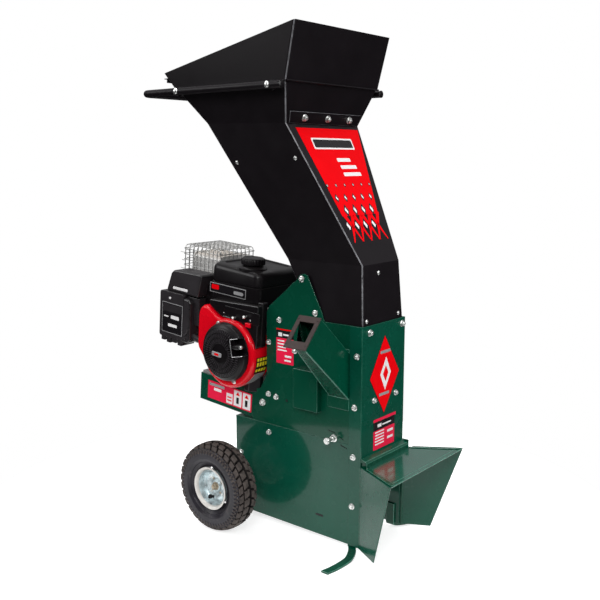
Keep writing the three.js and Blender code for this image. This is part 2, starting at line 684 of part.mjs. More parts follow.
const crankEnd = 150;
add('crankshaft', cylinderY(SHAFT_RADIUS, -124, crankEnd, ...crankLine), STEEL, engine);
add('flywheel', turnedY([
  [BORE_RADIUS, -118], [30, -118], [30, -104], [84, -104], [84, -128], [88, -128], [88, -96],
  [BORE_RADIUS, -96], [BORE_RADIUS, -118],
], ...crankLine, 28), CAST, engine);
add('engine_pulley', pulley(ENGINE_PULLEY_RADIUS, ...crankLine), CAST, engine);

// The blower housing is a deep pan, open at the back, with a lobe that leads air to the cylinder.
const BLOWER_FRONT = -150;
const BLOWER_REAR = -76;
const BLOWER_Z = 133;
const BLOWER_RADIUS = 105.5;
function blowerSolid(inset, y0, y1) {
  const lobe = new THREE.Shape();
  lobe.moveTo(-130, 60);
  lobe.lineTo(-206 + inset, 94);
  lobe.lineTo(-236 + inset, 128);
  lobe.lineTo(-234 + inset, 238 - inset);
  lobe.quadraticCurveTo(-230 + inset, 262 - inset, -204, 264 - inset);
  lobe.quadraticCurveTo(-180, 262 - inset, -150, 237 - inset);
  lobe.lineTo(-100, 228 - inset);
  const fan = cylinderY(BLOWER_RADIUS - inset, y0, y1, CRANK_X, BLOWER_Z, 40);
  return join(fan, alongY(lobe, y0, y1, 6));
}
const blowerHollow = blowerSolid(2.5, BLOWER_FRONT + 2.5, BLOWER_REAR + 5);
const airIntake = cylinderY(72, BLOWER_FRONT - 5, BLOWER_FRONT + 10, ...crankLine, 40);
const tankClearance = box(-260, 20, -119, BLOWER_REAR + 5, 246, 300);
add('blower_housing', cut(blowerSolid(0, BLOWER_FRONT, BLOWER_REAR), blowerHollow, airIntake,
  tankClearance), RED_PLASTIC, engine);

// The recoil starter's cover, with a notch at its rim where the grip docks.
const GRIP_X = -41;
const GRIP_Z = 171;
const GRIP_TURN = -0.25;
function recoilCover() {
  const face = BLOWER_FRONT - GAP;
  const dome = turnedY([
    [0, face], [0, face - 30], [54, face - 28], [72, face - 24], [84, face - 15], [88, face - 5],
    [88, face], [0, face],
  ], ...crankLine, 36);
  const notch = box(-26, 26, face - 40, face - 3, -27, 24);
  notch.rotateY(GRIP_TURN).translate(GRIP_X, 0, GRIP_Z);
  return cut(dome, notch);
}
add('recoil_cover', recoilCover(), BLACK_PLASTIC, engine);

function starterGrip() {
  const bar = new THREE.CapsuleGeometry(8, 30, 4, 12).rotateZ(Math.PI / 2);
  const collar = cylinderY(5, 0, 17, 0, 0, 12);
  return join(bar, collar).translate(0, BLOWER_FRONT - 26, 0);
}
const grip = add('starter_grip', starterGrip(), BLACK_PLASTIC, engine);
grip.position.set(GRIP_X, 0, GRIP_Z);
grip.rotation.y = GRIP_TURN;

// ---------- fuel tank and controls ----------
const TANK_FRONT = -118;
const TANK_REAR = 32;
const NECK_X = -92;
const NECK_Y = -72;
const NECK_TOP = 394;
function tankSolid(inset) {
  const left = inset - 224;
  const right = -12 - inset;
  const section = new THREE.Shape();
  section.moveTo(left, 262 + inset);
  section.quadraticCurveTo(left, 250.5 + inset, -212, 250.5 + inset);
  section.lineTo(-40, 274 + inset);
  section.quadraticCurveTo(right, 279 + inset, right, 306);
  section.lineTo(right - 2, 344);
  section.quadraticCurveTo(right - 6, 376 - inset, -52, 382 - inset);
  section.lineTo(-200, 388 - inset);
  section.quadraticCurveTo(left + 2, 388 - inset, left, 372);
  return alongY(section, TANK_FRONT + inset, TANK_REAR - inset, 5);
}

function fuelTank() {
  const neck = cylinderZ(24, 376, NECK_TOP, NECK_X, NECK_Y, 24);
  const mouth = cylinderZ(20, 370, NECK_TOP + 6, NECK_X, NECK_Y, 24);
  return cut(join(tankSolid(0), neck), tankSolid(3), mouth);
}
add('fuel_tank', fuelTank(), BLACK_PLASTIC, engine);

function fuelCap() {
  const z0 = NECK_TOP + GAP;
  const outer = cylinderZ(36, z0, NECK_TOP + 20, NECK_X, NECK_Y, 24);
  const ribs = [];
  for (let i = 0; i < 8; i += 1) {
    const rib = box(33, 39, -5, 5, z0, NECK_TOP + 18);
    ribs.push(rib.rotateZ(i * Math.PI / 4).translate(NECK_X, NECK_Y, 0));
  }
  return join(outer, ...ribs);
}
add('fuel_cap', fuelCap(), BLACK_PLASTIC, engine);

// The control panel lies over the blower housing, round the recoil starter's rim.
const PANEL_FRONT = -140;
const PANEL_REAR = -119;
const THROTTLE_Z = 256;
const CHOKE_Z = 245;
function leverSlot(x0, x1, z) {
  return box(x0, x1, PANEL_FRONT - 5, PANEL_FRONT + 5, z - 3, z + 3);
}

function controlPanel() {
  const outline = new THREE.Shape();
  outline.moveTo(-178, 255);
  outline.lineTo(-150, 239);
  outline.lineTo(-8, 130);
  outline.lineTo(2, 150);
  outline.lineTo(2, 262);
  outline.quadraticCurveTo(2, 280, -18, 277);
  outline.closePath();
  const plate = alongY(outline, PANEL_FRONT, PANEL_REAR, 4);
  const fan = cylinderY(BLOWER_RADIUS + 2, PANEL_FRONT - 5, PANEL_REAR + 5, CRANK_X, BLOWER_Z, 40);
  const lobeClearance = box(-240, -138, PANEL_FRONT - 5, PANEL_REAR + 5, 200, 300);
  return cut(plate, fan, lobeClearance, leverSlot(-100, -39, THROTTLE_Z), leverSlot(-125, -82, CHOKE_Z));
}
add('control_panel', controlPanel(), BLACK_PLASTIC, engine);

// Each control lever is a flat stem in its slot with a round knob.
function lever(x, z) {
  const stem = box(x - 2, x + 2, PANEL_FRONT - 9, PANEL_FRONT + 4, z - 2, z + 2);
  const knob = new THREE.SphereGeometry(5, 12, 8).translate(x, PANEL_FRONT - 12, z);
  return join(stem, knob);
}
add('throttle_lever', lever(-45, THROTTLE_Z), ZINC, engine);
add('choke_lever', lever(-88, CHOKE_Z), ZINC, engine);
add('stop_switch', box(-44, -26, PANEL_FRONT - 8, PANEL_FRONT - GAP, 227, 239), RED_PLASTIC, engine);

// ---------- air cleaner, exhaust and small engine parts ----------
function airCleanerLower() {
  const body = alongY(roundedRectangle(-419, -313, 122, 268, 8), -137, -72, 3);
  const elbow = box(-316, -262, -118, -80, 178, 262);
  const ribs = [];
  for (let i = 0; i < 4; i += 1) {
    const x = -412 + 25 * i;
    ribs.push(box(x, x + 17, -134, -78, 108 - (i % 2) * 4, 128));
  }
  return join(body, elbow, ...ribs);
}
add('air_cleaner_body', airCleanerLower(), BLACK_PLASTIC, engine);

function airCleanerCover() {
  const section = shapeOf([
    [-399, 268 + GAP], [-399, 276], [-382, 326], [-370, 337], [-256, 340], [-248, 334],
    [-262, 268 + GAP],
  ]);
  return alongY(section, -127, -64);
}
add('air_cleaner_cover', airCleanerCover(), BLACK_PLASTIC, engine);
add('carburettor', box(-300, -262, -77, -62, 176, 238), CAST, engine);

function muffler() {
  const wall = 2.5;
  const body = alongX(roundedRectangle(-38, 88, 316, 384, 14), -376, -258, 4);
  const hollow = alongX(roundedRectangle(-38 + wall, 88 - wall, 316 + wall, 384 - wall, 14 - wall),
    -376 + wall, -258 - wall, 4);
  const outlet = alongX(disc(25, 350, 9), -380, -370, 12);
  const pipe = cylinderZ(14, 252, 317, -330, 25, 20);
  return join(cut(body, hollow, outlet), pipe);
}
add('muffler', muffler(), MUFFLER_STEEL, engine);

// A cage of straight wires round the muffler: five sides, open underneath.
function mufflerGuard() {
  const wire = 2.4;
  const x0 = -397;
  const x1 = -240;
  const y0 = -56;
  const y1 = 106;
  const z0 = 298;
  const z1 = 404;
  const bars = [];
  const steps = (a, b, count) =>
    Array.from({ length: count + 1 }, (_, i) => THREE.MathUtils.lerp(a, b, i / count));
  const bar = (xa, xb, ya, yb, za, zb) => {
    const half = wire / 2;
    bars.push(box(xa - half, xb + half, ya - half, yb + half, za - half, zb + half));
  };
  steps(x0, x1, 4).forEach((x) => {
    bar(x, x, y0, y1, z1, z1);
    bar(x, x, y0, y0, z0, z1);
    bar(x, x, y1, y1, z0, z1);
  });
  steps(y0, y1, 4).forEach((y) => {
    bar(x0, x1, y, y, z1, z1);
    bar(x0, x0, y, y, z0, z1);
    bar(x1, x1, y, y, z0, z1);
  });
  [z0, (z0 + z1) / 2].forEach((z) => {
    bar(x0, x1, y0, y0, z, z);
    bar(x0, x1, y1, y1, z, z);
    bar(x0, x0, y0, y1, z, z);
    bar(x1, x1, y0, y1, z, z);
  });
  return join(...bars);
}
add('muffler_guard', mufflerGuard(), ZINC, engine);

function oilFillerCap() {
  return join(cylinderZ(18, BASE + 62 + GAP, BASE + 72, FILLER_X, FILLER_Y, 20),
    cylinderZ(9, BASE + 44, BASE + 64, FILLER_X, FILLER_Y, 16));
}
add('oil_filler_cap', oilFillerCap(), BLACK_PLASTIC, engine);

// ---------- latch pin on the near side ----------
function latchPin() {
  return join(cylinderY(LATCH_RADIUS, -131, -96, LATCH_X, LATCH_Z, 16),
    cylinderY(9, -137, -129, LATCH_X, LATCH_Z, 16));
}
add('latch_pin', latchPin(), ZINC);

// ---------- place the machine on its origin ----------
machine.updateMatrixWorld(true);
const bounds = new THREE.Box3().setFromObject(machine, true);
const centre = bounds.getCenter(new THREE.Vector3());
machine.position.set(-centre.x, -centre.y, 0);

export default machine;
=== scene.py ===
"""Looks of a wheeled wood chipper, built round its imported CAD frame.

Lengths are in millimetres in the machine frame: X = 0 on the front cover's outer face, +X towards the
discharge, Y = 0 on the middle plane with the side chute at -Y, Z = 0 on the ground. The engine frame
starts at the platform's pivot bolt and leans with the platform.
"""
import json
import math
import random

import bmesh
import bpy
from mathutils import Matrix, Vector


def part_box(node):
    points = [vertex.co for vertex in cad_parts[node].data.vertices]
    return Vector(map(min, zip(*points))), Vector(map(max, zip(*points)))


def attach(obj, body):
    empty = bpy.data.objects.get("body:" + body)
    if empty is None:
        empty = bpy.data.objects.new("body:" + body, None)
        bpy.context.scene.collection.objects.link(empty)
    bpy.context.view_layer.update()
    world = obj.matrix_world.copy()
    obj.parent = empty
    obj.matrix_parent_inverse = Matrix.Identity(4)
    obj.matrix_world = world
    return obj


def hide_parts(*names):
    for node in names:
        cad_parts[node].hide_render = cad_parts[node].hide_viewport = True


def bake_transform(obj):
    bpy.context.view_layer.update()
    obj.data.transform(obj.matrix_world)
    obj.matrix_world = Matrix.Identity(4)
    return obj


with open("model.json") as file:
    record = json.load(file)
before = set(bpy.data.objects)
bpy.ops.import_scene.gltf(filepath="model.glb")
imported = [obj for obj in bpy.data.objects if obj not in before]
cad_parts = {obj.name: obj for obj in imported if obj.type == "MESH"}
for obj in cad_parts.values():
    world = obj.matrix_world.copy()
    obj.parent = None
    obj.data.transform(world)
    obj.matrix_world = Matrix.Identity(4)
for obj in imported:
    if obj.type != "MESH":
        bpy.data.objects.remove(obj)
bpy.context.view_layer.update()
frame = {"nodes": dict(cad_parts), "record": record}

# ---------- the two frames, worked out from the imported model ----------
MM = 0.001
cover_low, cover_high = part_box("front_cover")
ORIGIN = Vector((cover_high.x, (cover_low.y + cover_high.y) / 2, 0))
PLATFORM_TILT = math.radians(4.6)
PIVOT = Vector((-354, 0, 363))
SIDES = ((-1, "near"), (1, "far"))
MACHINE = Matrix.Translation(ORIGIN) @ Matrix.Scale(MM, 4)
ENGINE = (
    Matrix.Translation(ORIGIN + PIVOT * MM)
    @ Matrix.Rotation(PLATFORM_TILT, 4, "Y")
    @ Matrix.Scale(MM, 4)
)


# ---------- camera, light and floor ----------
CAMERA_TURN, CAMERA_RISE = math.radians(39.33), math.radians(9.65)
CAMERA_PLACE = Vector((1.21657, -1.84586, 1.06621))
CAMERA_LENS = 49.67


def make_camera():
    azimuth, elevation = CAMERA_TURN, CAMERA_RISE
    back = Vector((
        math.sin(azimuth) * math.cos(elevation),
        -math.cos(azimuth) * math.cos(elevation),
        math.sin(elevation),
    ))
    right = Vector((math.cos(azimuth), math.sin(azimuth), 0))
    up = back.cross(right)
    data = bpy.data.cameras.new("camera")
    data.lens = CAMERA_LENS
    data.sensor_width = 36
    camera = bpy.data.objects.new("camera", data)
    bpy.context.scene.collection.objects.link(camera)
    turn = Matrix((right, up, back)).transposed().to_4x4()
    camera.matrix_world = Matrix.Translation(ORIGIN + CAMERA_PLACE) @ turn
    bpy.context.scene.camera = camera


def area_light(name, place, target, size, power, shines=True):
    data = bpy.data.lights.new(name, "AREA")
    data.shape = "RECTANGLE"
    data.size, data.size_y = size
    data.energy = power
    light = bpy.data.objects.new(name, data)
    light.location = place
    direction = Vector(place) - Vector(target)
    light.rotation_mode = "QUATERNION"
    light.rotation_quaternion = direction.to_track_quat("Z", "Y")
    light.visible_glossy = shines
    bpy.context.scene.collection.objects.link(light)


def make_world():
    """White where the camera looks past the floor, a dim studio with a bright ceiling for everything else."""
    world = bpy.data.worlds.new("studio")
    bpy.context.scene.world = world
    world.use_nodes = True
    nodes, links = world.node_tree.nodes, world.node_tree.links
    nodes.clear()
    output = nodes.new("ShaderNodeOutputWorld")
    mix = nodes.new("ShaderNodeMixShader")
    path = nodes.new("ShaderNodeLightPath")
    seen = nodes.new("ShaderNodeBackground")
    seen.inputs["Color"].default_value = (1, 1, 1, 1)
    room = nodes.new("ShaderNodeBackground")
    coords = nodes.new("ShaderNodeTexCoord")
    split = nodes.new("ShaderNodeSeparateXYZ")
    ramp = nodes.new("ShaderNodeValToRGB")
    stops = ramp.color_ramp.elements
    stops[0].position, stops[0].color = 0.0, (0.03, 0.03, 0.032, 1)
    stops[1].position, stops[1].color = 1.0, (0.9, 0.9, 0.92, 1)
    for position, level in ((0.12, 0.06), (0.45, 0.5)):
        stops.new(position).color = (level, level, level * 1.03, 1)
    links.new(coords.outputs["Generated"], split.inputs[0])
    links.new(split.outputs["Z"], ramp.inputs["Fac"])
    links.new(ramp.outputs["Color"], room.inputs["Color"])
    links.new(path.outputs["Is Camera Ray"], mix.inputs["Fac"])
    links.new(room.outputs[0], mix.inputs[1])
    links.new(seen.outputs[0], mix.inputs[2])
    links.new(mix.outputs[0], output.inputs["Surface"])


def make_floor():
    """A pale floor that glows a little, as a lit studio table does."""
    mesh = bpy.data.meshes.new("floor")
    bm = bmesh.new()
    bmesh.ops.create_circle(bm, cap_ends=True, radius=1.0, segments=96)
    bm.to_mesh(mesh)
    bm.free()
    floor = bpy.data.objects.new("floor", mesh)
    bpy.context.scene.collection.objects.link(floor)
    material = bpy.data.materials.new("pale_floor")
    material.use_nodes = True
    shader = material.node_tree.nodes["Principled BSDF"]
    shader.inputs["Base Color"].default_value = (0.55, 0.55, 0.55, 1)
    shader.inputs["Roughness"].default_value = 0.9
    shader.inputs["Specular IOR Level"].default_value = 0.1
    shader.inputs["Emission Color"].default_value = (1, 1, 1, 1)
    shader.inputs["Emission Strength"].default_value = 0.7
    mesh.materials.append(material)


make_camera()
make_world()
make_floor()
bpy.context.scene.view_settings.view_transform = "Standard"
area_light("key", (2.0, -3.2, 2.9), (0, 0, 0.7), (1.4, 1.2), 85)
area_light("side", (3.4, 0.4, 1.9), (0, 0, 0.7), (1.0, 1.8), 60)
area_light("left", (-2.6, -2.6, 2.3), (0, 0, 0.6), (1.6, 1.4), 40)
area_light("top", (-0.3, 0.2, 4.0), (0, 0, 0.5), (2.6, 2.6), 110)
area_light("back", (-2.6, 2.8, 2.2), (0, 0, 0.7), (1.6, 1.6), 60, shines=False)


# ---------- materials ----------
def node_group(material):
    material.use_nodes = True
    tree = material.node_tree
    return tree.nodes, tree.links, tree.nodes["Principled BSDF"]


def noise_node(nodes, links, scale, detail=4, stretch=(1, 1, 1)):
    """Noise fixed to the piece, with features of about 1 / scale metres."""
    coords = nodes.new("ShaderNodeTexCoord")
    mapping = nodes.new("ShaderNodeMapping")
    mapping.inputs["Scale"].default_value = stretch
    noise = nodes.new("ShaderNodeTexNoise")
    noise.inputs["Scale"].default_value = scale
    noise.inputs["Detail"].default_value = detail
    links.new(coords.outputs["Object"], mapping.inputs["Vector"])
    links.new(mapping.outputs["Vector"], noise.inputs["Vector"])
    return noise


def ramp_node(nodes, links, source, low, high, from_low=0.35, from_high=0.65):
    ramp = nodes.new("ShaderNodeMapRange")
    ramp.inputs["From Min"].default_value = from_low
    ramp.inputs["From Max"].default_value = from_high
    ramp.inputs["To Min"].default_value = low
    ramp.inputs["To Max"].default_value = high
    links.new(source, ramp.inputs["Value"])
    return ramp


def mix_node(nodes, links, factor, first, second):
    mix = nodes.new("ShaderNodeMix")
    mix.data_type = "RGBA"
    for socket, value in ((mix.inputs["A"], first), (mix.inputs["B"], second)):
        if isinstance(value, tuple):
            socket.default_value = (*value, 1)
        else:
            links.new(value, socket)
    links.new(factor, mix.inputs["Factor"])
    return mix


def surface(name, color, rough, metal=0.0, coat=0.0, coat_rough=0.05, specular=0.5, shade=0.08,
            shade_scale=9, rough_spread=0.04, grain=300, grain_depth=0.0001, stretch=(1, 1, 1),
            dust=0.0, dust_color=(0.28, 0.26, 0.24), specks=None):
    """A surface with uneven shade and gloss, a fine grain, and optional dust on top and specks of dirt."""
    material = bpy.data.materials.new(name)
    nodes, links, shader = node_group(material)
    shader.inputs["Metallic"].default_value = metal
    shader.inputs["Coat Weight"].default_value = coat
    shader.inputs["Coat Roughness"].default_value = coat_rough
    shader.inputs["Specular IOR Level"].default_value = specular
    broad = noise_node(nodes, links, shade_scale, 5, stretch)
    dark = tuple(max(0.0, c * (1 - shade)) for c in color)
    light = tuple(min(1.0, c * (1 + shade)) for c in color)
    fade = ramp_node(nodes, links, broad.outputs["Fac"], 0, 1)
    tint = mix_node(nodes, links, fade.outputs[0], dark, light)
    result = tint.outputs["Result"]
    if dust:
        normal = nodes.new("ShaderNodeNewGeometry")
        split = nodes.new("ShaderNodeSeparateXYZ")
        links.new(normal.outputs["Normal"], split.inputs[0])
        up = ramp_node(nodes, links, split.outputs["Z"], 0, dust, 0.3, 1.0)
        powder = mix_node(nodes, links, up.outputs[0], result, dust_color)
        result = powder.outputs["Result"]
    if specks is not None:
        spots = noise_node(nodes, links, 85, 6)
        there = ramp_node(nodes, links, spots.outputs["Fac"], 0, 1, 0.6, 0.7)
        spotted = mix_node(nodes, links, there.outputs[0], result, specks)
        result = spotted.outputs["Result"]
    links.new(result, shader.inputs["Base Color"])
    patches = noise_node(nodes, links, shade_scale * 2.7, 6, stretch)
    gloss = ramp_node(nodes, links, patches.outputs["Fac"], max(0.02, rough - rough_spread),
                      min(1, rough + rough_spread))
    links.new(gloss.outputs[0], shader.inputs["Roughness"])
    if grain_depth:
        fine = noise_node(nodes, links, grain, 3, stretch)
        bump = nodes.new("ShaderNodeBump")
        bump.inputs["Strength"].default_value = 0.6
        bump.inputs["Distance"].default_value = grain_depth
        links.new(fine.outputs["Fac"], bump.inputs["Height"])
        links.new(bump.outputs["Normal"], shader.inputs["Normal"])
    return material


LOOKS = {
    "green_paint": dict(color=(0.0004, 0.05, 0.0265), rough=0.26, coat=0.4, coat_rough=0.07, specular=0.12,
        shade=0.05, grain=160, grain_depth=0.00004),
    # A lighter copy of the green paint for the lower plates: the lift in colour is a painted reflection of the pale
    # floor.
    "green_painted_reflection": dict(color=(0.0012, 0.059, 0.0345), rough=0.26, coat=0.4, coat_rough=0.07, specular=0.14,
        shade=0.07, grain=160, grain_depth=0.00004),
    # A glossier copy of the green paint for the deflector's top, its lighter colour a painted reflection.
    "green_gloss_painted_reflection": dict(color=(0.008, 0.07, 0.045), rough=0.22, coat=1.0, coat_rough=0.11, specular=0.4,
        shade=0.1, grain=160, grain_depth=0.00004),
    # Lighter green for the bevel faces of rounded edges: wear and a painted highlight.
    "green_wear_and_painted_highlight": dict(color=(0.03, 0.14, 0.095), rough=0.3, coat=0.5, shade=0.35, shade_scale=60),
    "black_paint": dict(color=(0.0062, 0.0047, 0.006), rough=0.42, coat=0.03, coat_rough=0.3, specular=0.13,
        shade=0.12, grain=420, grain_depth=0.00006, dust=0.01),
    # Lighter black for the bevel faces of rounded edges: wear and a painted highlight.
    "black_wear_and_painted_highlight": dict(color=(0.13, 0.13, 0.14), rough=0.4, shade=0.45, shade_scale=55, specks=(0.012, 0.011,
        0.013)),
    "black_plastic": dict(color=(0.0046, 0.0036, 0.0044), rough=0.32, specular=0.2, shade=0.12, grain=900,
        grain_depth=0.00005, dust=0.02),
    # Lighter black plastic for the bevel faces of rounded edges: wear and a painted highlight.
    "black_plastic_wear_and_painted_highlight": dict(color=(0.013, 0.012, 0.013), rough=0.3, shade=0.2),
    "grained_plastic": dict(color=(0.0175, 0.015, 0.0172), rough=0.48, specular=0.3, shade=0.15, grain=1500,
        grain_depth=0.00012, dust=0.02),
    # A lighter copy of the black plastic for the starter's ribs: a painted highlight.
    "rib_plastic_painted_highlight": dict(color=(0.024, 0.021, 0.024), rough=0.35, shade=0.1),
    "red_plastic": dict(color=(0.66, 0.0008, 0.0095), rough=0.24, coat=0.16, specular=0.2, shade=0.05, grain=500,
        grain_depth=0.00004),
    "tyre_rubber": dict(color=(0.011, 0.0095, 0.014), rough=0.36, specular=0.3, shade=0.3, shade_scale=22,
        grain=700, grain_depth=0.0002, specks=(0.026, 0.022, 0.026)),
    "tread_top": dict(color=(0.044, 0.035, 0.031), rough=0.7, specular=0.3, shade=0.3, shade_scale=60, grain=900,
        grain_depth=0.0003, specks=(0.085, 0.068, 0.058)),
    # The darkest rubber, for grooves and slots: painted shade in recesses.
    "recess_painted_shade": dict(color=(0.007, 0.006, 0.006), rough=0.85, specular=0.1, shade=0.2),
    "brown_rubber": dict(color=(0.03, 0.0165, 0.0145), rough=0.7, shade=0.2, grain=1100, grain_depth=0.0002),
    "belt_rubber": dict(color=(0.012, 0.012, 0.012), rough=0.8, shade=0.2, grain=900, grain_depth=0.0002),
    "zinc": dict(color=(0.72, 0.73, 0.71), rough=0.3, metal=0.85, shade=0.16, shade_scale=90, rough_spread=0.1,
        grain=500, grain_depth=0.00006),
    "rust_steel": dict(color=(0.3, 0.25, 0.18), rough=0.5, metal=0.5, shade=0.5, shade_scale=180),
    "wire_zinc": dict(color=(0.4, 0.4, 0.39), rough=0.38, metal=0.8, shade=0.25, shade_scale=120),
    "rim_zinc": dict(color=(0.5, 0.58, 0.6), rough=0.36, metal=0.5, shade=0.42, shade_scale=52, rough_spread=0.12,
        grain=240, grain_depth=0.00015, specks=(0.42, 0.46, 0.46)),
    "rim_flange": dict(color=(0.6, 0.58, 0.545), rough=0.45, metal=0.25, shade=0.1, shade_scale=50),
    "steel": dict(color=(0.42, 0.42, 0.43), rough=0.36, metal=1.0, shade=0.2, shade_scale=30, grain=300,
        grain_depth=0.0001, stretch=(1, 6, 1)),
    "cast_metal": dict(color=(0.46, 0.46, 0.46), rough=0.5, metal=0.8, shade=0.2, shade_scale=25, grain=650,
        grain_depth=0.0004),
    "muffler_steel": dict(color=(0.72, 0.71, 0.69), rough=0.5, metal=0.35, shade=0.12, shade_scale=14,
        rough_spread=0.1, grain=200, grain_depth=0.0002, dust=0.55, dust_color=(0.46, 0.38, 0.29)),
    "label_red": dict(color=(0.74, 0.0008, 0.004), rough=0.5, specular=0.03, shade=0.04, grain_depth=0),
    "label_pink": dict(color=(0.74, 0.012, 0.055), rough=0.4, specular=0.1, shade=0.06, grain_depth=0),
    "label_white": dict(color=(0.78, 0.77, 0.77), rough=0.32, shade=0.05, grain_depth=0),
    "label_black": dict(color=(0.0075, 0.0065, 0.008), rough=0.28, specular=0.25, shade=0.1, grain_depth=0),
    "label_silver": dict(color=(0.58, 0.58, 0.59), rough=0.3, metal=0.6, shade=0.08, grain_depth=0),
    "label_yellow": dict(color=(0.72, 0.6, 0.015), rough=0.35, shade=0.06, grain_depth=0),
}
MATERIALS = {name: surface(name, **look) for name, look in LOOKS.items()}
# Which lighter edge colour a paint's bevels take: wear and a painted highlight along each edge.
EDGE_OF = {"green_paint": "green_wear_and_painted_highlight", "black_paint": "black_wear_and_painted_highlight", "black_plastic": "black_plastic_wear_and_painted_highlight",
           "grained_plastic": "black_plastic_wear_and_painted_highlight"}


# ---------- mesh tools: every mesh is drawn in millimetres ----------
def smooth(mesh, angle=35):
    mesh.shade_smooth()
    mesh.set_sharp_from_angle(angle=math.radians(angle))


def piece(name, bm, material, body="chassis", space=MACHINE, replaces=(), angle=35, bevel=0, segments=2):
    """Turns a mesh drawn in one of the two frames into a piece that rides on a body."""
    bmesh.ops.recalc_face_normals(bm, faces=bm.faces)
    mesh = bpy.data.meshes.new(name)
    bm.to_mesh(mesh)
    bm.free()
    mesh.transform(space)
    smooth(mesh, angle)
    mesh.materials.append(MATERIALS[material])
    shown = bpy.data.objects.new(name, mesh)
    bpy.context.scene.collection.objects.link(shown)
    if body:
        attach(shown, body)
    if replaces:
        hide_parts(*replaces)
    if bevel:
        rounding = shown.modifiers.new("rounded_edges", "BEVEL")
        rounding.width = bevel * MM
        rounding.segments = segments
        rounding.limit_method = "ANGLE"
        rounding.angle_limit = math.radians(30)
        # Bevel faces take the paint's lighter edge colour: wear and a painted highlight along the edge.
        if material in EDGE_OF:
            mesh.materials.append(MATERIALS[EDGE_OF[material]])
            rounding.material = 1
        weigh = shown.modifiers.new("flat_faces", "WEIGHTED_NORMAL")
        weigh.keep_sharp = True
    return shown


def body_of_node(node):
    bodies = frame["record"]["behaviour"]["bodies"]
    return next(body for body, members in bodies.items() if node in members)


AXLE_HALF = 0.233
CHUTE_SLOPE = math.radians(42)
CHUTE_ROOT_Y, CHUTE_ROOT_Z = -0.1088, 0.556
CHUTE_DRAWN_IN = 0.036


def axle_ends(place):
    """Ends the axle inside the rims' dishes."""
    place.y = max(-AXLE_HALF, min(AXLE_HALF, place.y))


def chute_taper(place):
    """Draws the chute's lower edge on the engine's side in towards the mouth."""
    y, z = place.y - CHUTE_ROOT_Y, place.z - CHUTE_ROOT_Z
    out = -y * math.cos(CHUTE_SLOPE) + z * math.sin(CHUTE_SLOPE)
    depth = -y * math.sin(CHUTE_SLOPE) - z * math.cos(CHUTE_SLOPE)
    if place.x < -0.1 and depth > 0.085 and place.y < -0.112:
        place.x += CHUTE_DRAWN_IN * max(0.0, min(1.0, (out + 0.08) / 0.248))


ADJUSTED = {"chipper_chute": chute_taper, "axle": axle_ends}


def refined(node, bevel, material, segments=2, angle=35):
    """A copy of a CAD node with its facets merged and its edges rounded."""
    bm = bmesh.new()
    bm.from_mesh(frame["nodes"][node].data)
    if node in ADJUSTED:
        for vert in bm.verts:
            place = vert.co - ORIGIN
            ADJUSTED[node](place)
            vert.co = ORIGIN + place
    bmesh.ops.remove_doubles(bm, verts=bm.verts, dist=2e-5)
    bmesh.ops.dissolve_limit(bm, angle_limit=math.radians(0.8), verts=bm.verts, edges=bm.edges)
    return piece(f"{node}_finished", bm, material, body_of_node(node), Matrix.Identity(4), (node,), angle,
                 bevel, segments)


PLACE = {
    "x": lambda a, b, along: (along, a, b),
    "y": lambda a, b, along: (a, along, b),
    "z": lambda a, b, along: (a, b, along),
}


def skin(bm, rings, closed=False):
    """Joins rings of points into a tube, with its ends capped unless the last ring joins the first."""
    made = [[bm.verts.new(point) for point in ring] for ring in rings]
    pairs = list(zip(made, made[1:]))
    if closed:
        pairs.append((made[-1], made[0]))
    else:
        bm.faces.new(made[0])
        bm.faces.new(reversed(made[-1]))
    for first, second in pairs:
        count = len(first)
        for i in range(count):
            j = (i + 1) % count
            bm.faces.new((first[i], first[j], second[j], second[i]))


def prism(bm, outline, axis, low, high):
    skin(bm, [[PLACE[axis](a, b, along) for a, b in outline] for along in (low, high)])


def engine_plate(name, material, outline, low, high, axis="y", **options):
    """A piece made of one flat plate, in the engine's frame."""
    bm = bmesh.new()
    prism(bm, outline, axis, low, high)
    return piece(name, bm, material, space=ENGINE, **options)


def slab(bm, x0, x1, y0, y1, z0, z1):
    prism(bm, [(x0, z0), (x1, z0), (x1, z1), (x0, z1)], "y", y0, y1)


def circle(radius, segments, a=0, b=0):
    turns = [2 * math.pi * i / segments for i in range(segments)]
    return [(a + radius * math.cos(turn), b + radius * math.sin(turn)) for turn in turns]


def lathe(bm, profile, axis, a=0, b=0, segments=32, closed=False):
    """Turns a profile of (radius, place along the axis) round an axis through (a, b)."""
    skin(bm, [[PLACE[axis](p, q, along) for p, q in circle(max(radius, 0.05), segments, a, b)]
              for radius, along in profile], closed)


def rounded(x0, x1, y0, y1, radius, steps=6):
    points = []
    corners = ((x1, y1, 0), (x0, y1, 90), (x0, y0, 180), (x1, y0, 270))
    for x, y, start in corners:
        cx = x - radius if x == x1 else x + radius
        cy = y - radius if y == y1 else y + radius
        for i in range(steps + 1):
            turn = math.radians(start + 90 * i / steps)
            points.append((cx + radius * math.cos(turn), cy + radius * math.sin(turn)))
    return points


def tube(bm, points, radius, sides=10, closed=False):
    """A round bar along a line of points."""
    points = [Vector(point) for point in points]
    count = len(points)
    rings = []
    side = None
    for i, point in enumerate(points):
        ahead = points[(i + 1) % count] if closed or i < count - 1 else point
        behind = points[i - 1] if closed or i > 0 else point
        along = (ahead - behind).normalized()
        if side is None:
            side = along.orthogonal().normalized()
        side = (side - along * side.dot(along)).normalized()
        other = along.cross(side)
        rings.append([point + (side * a + other * b) for a, b in circle(radius, sides)])
    skin(bm, rings, closed)


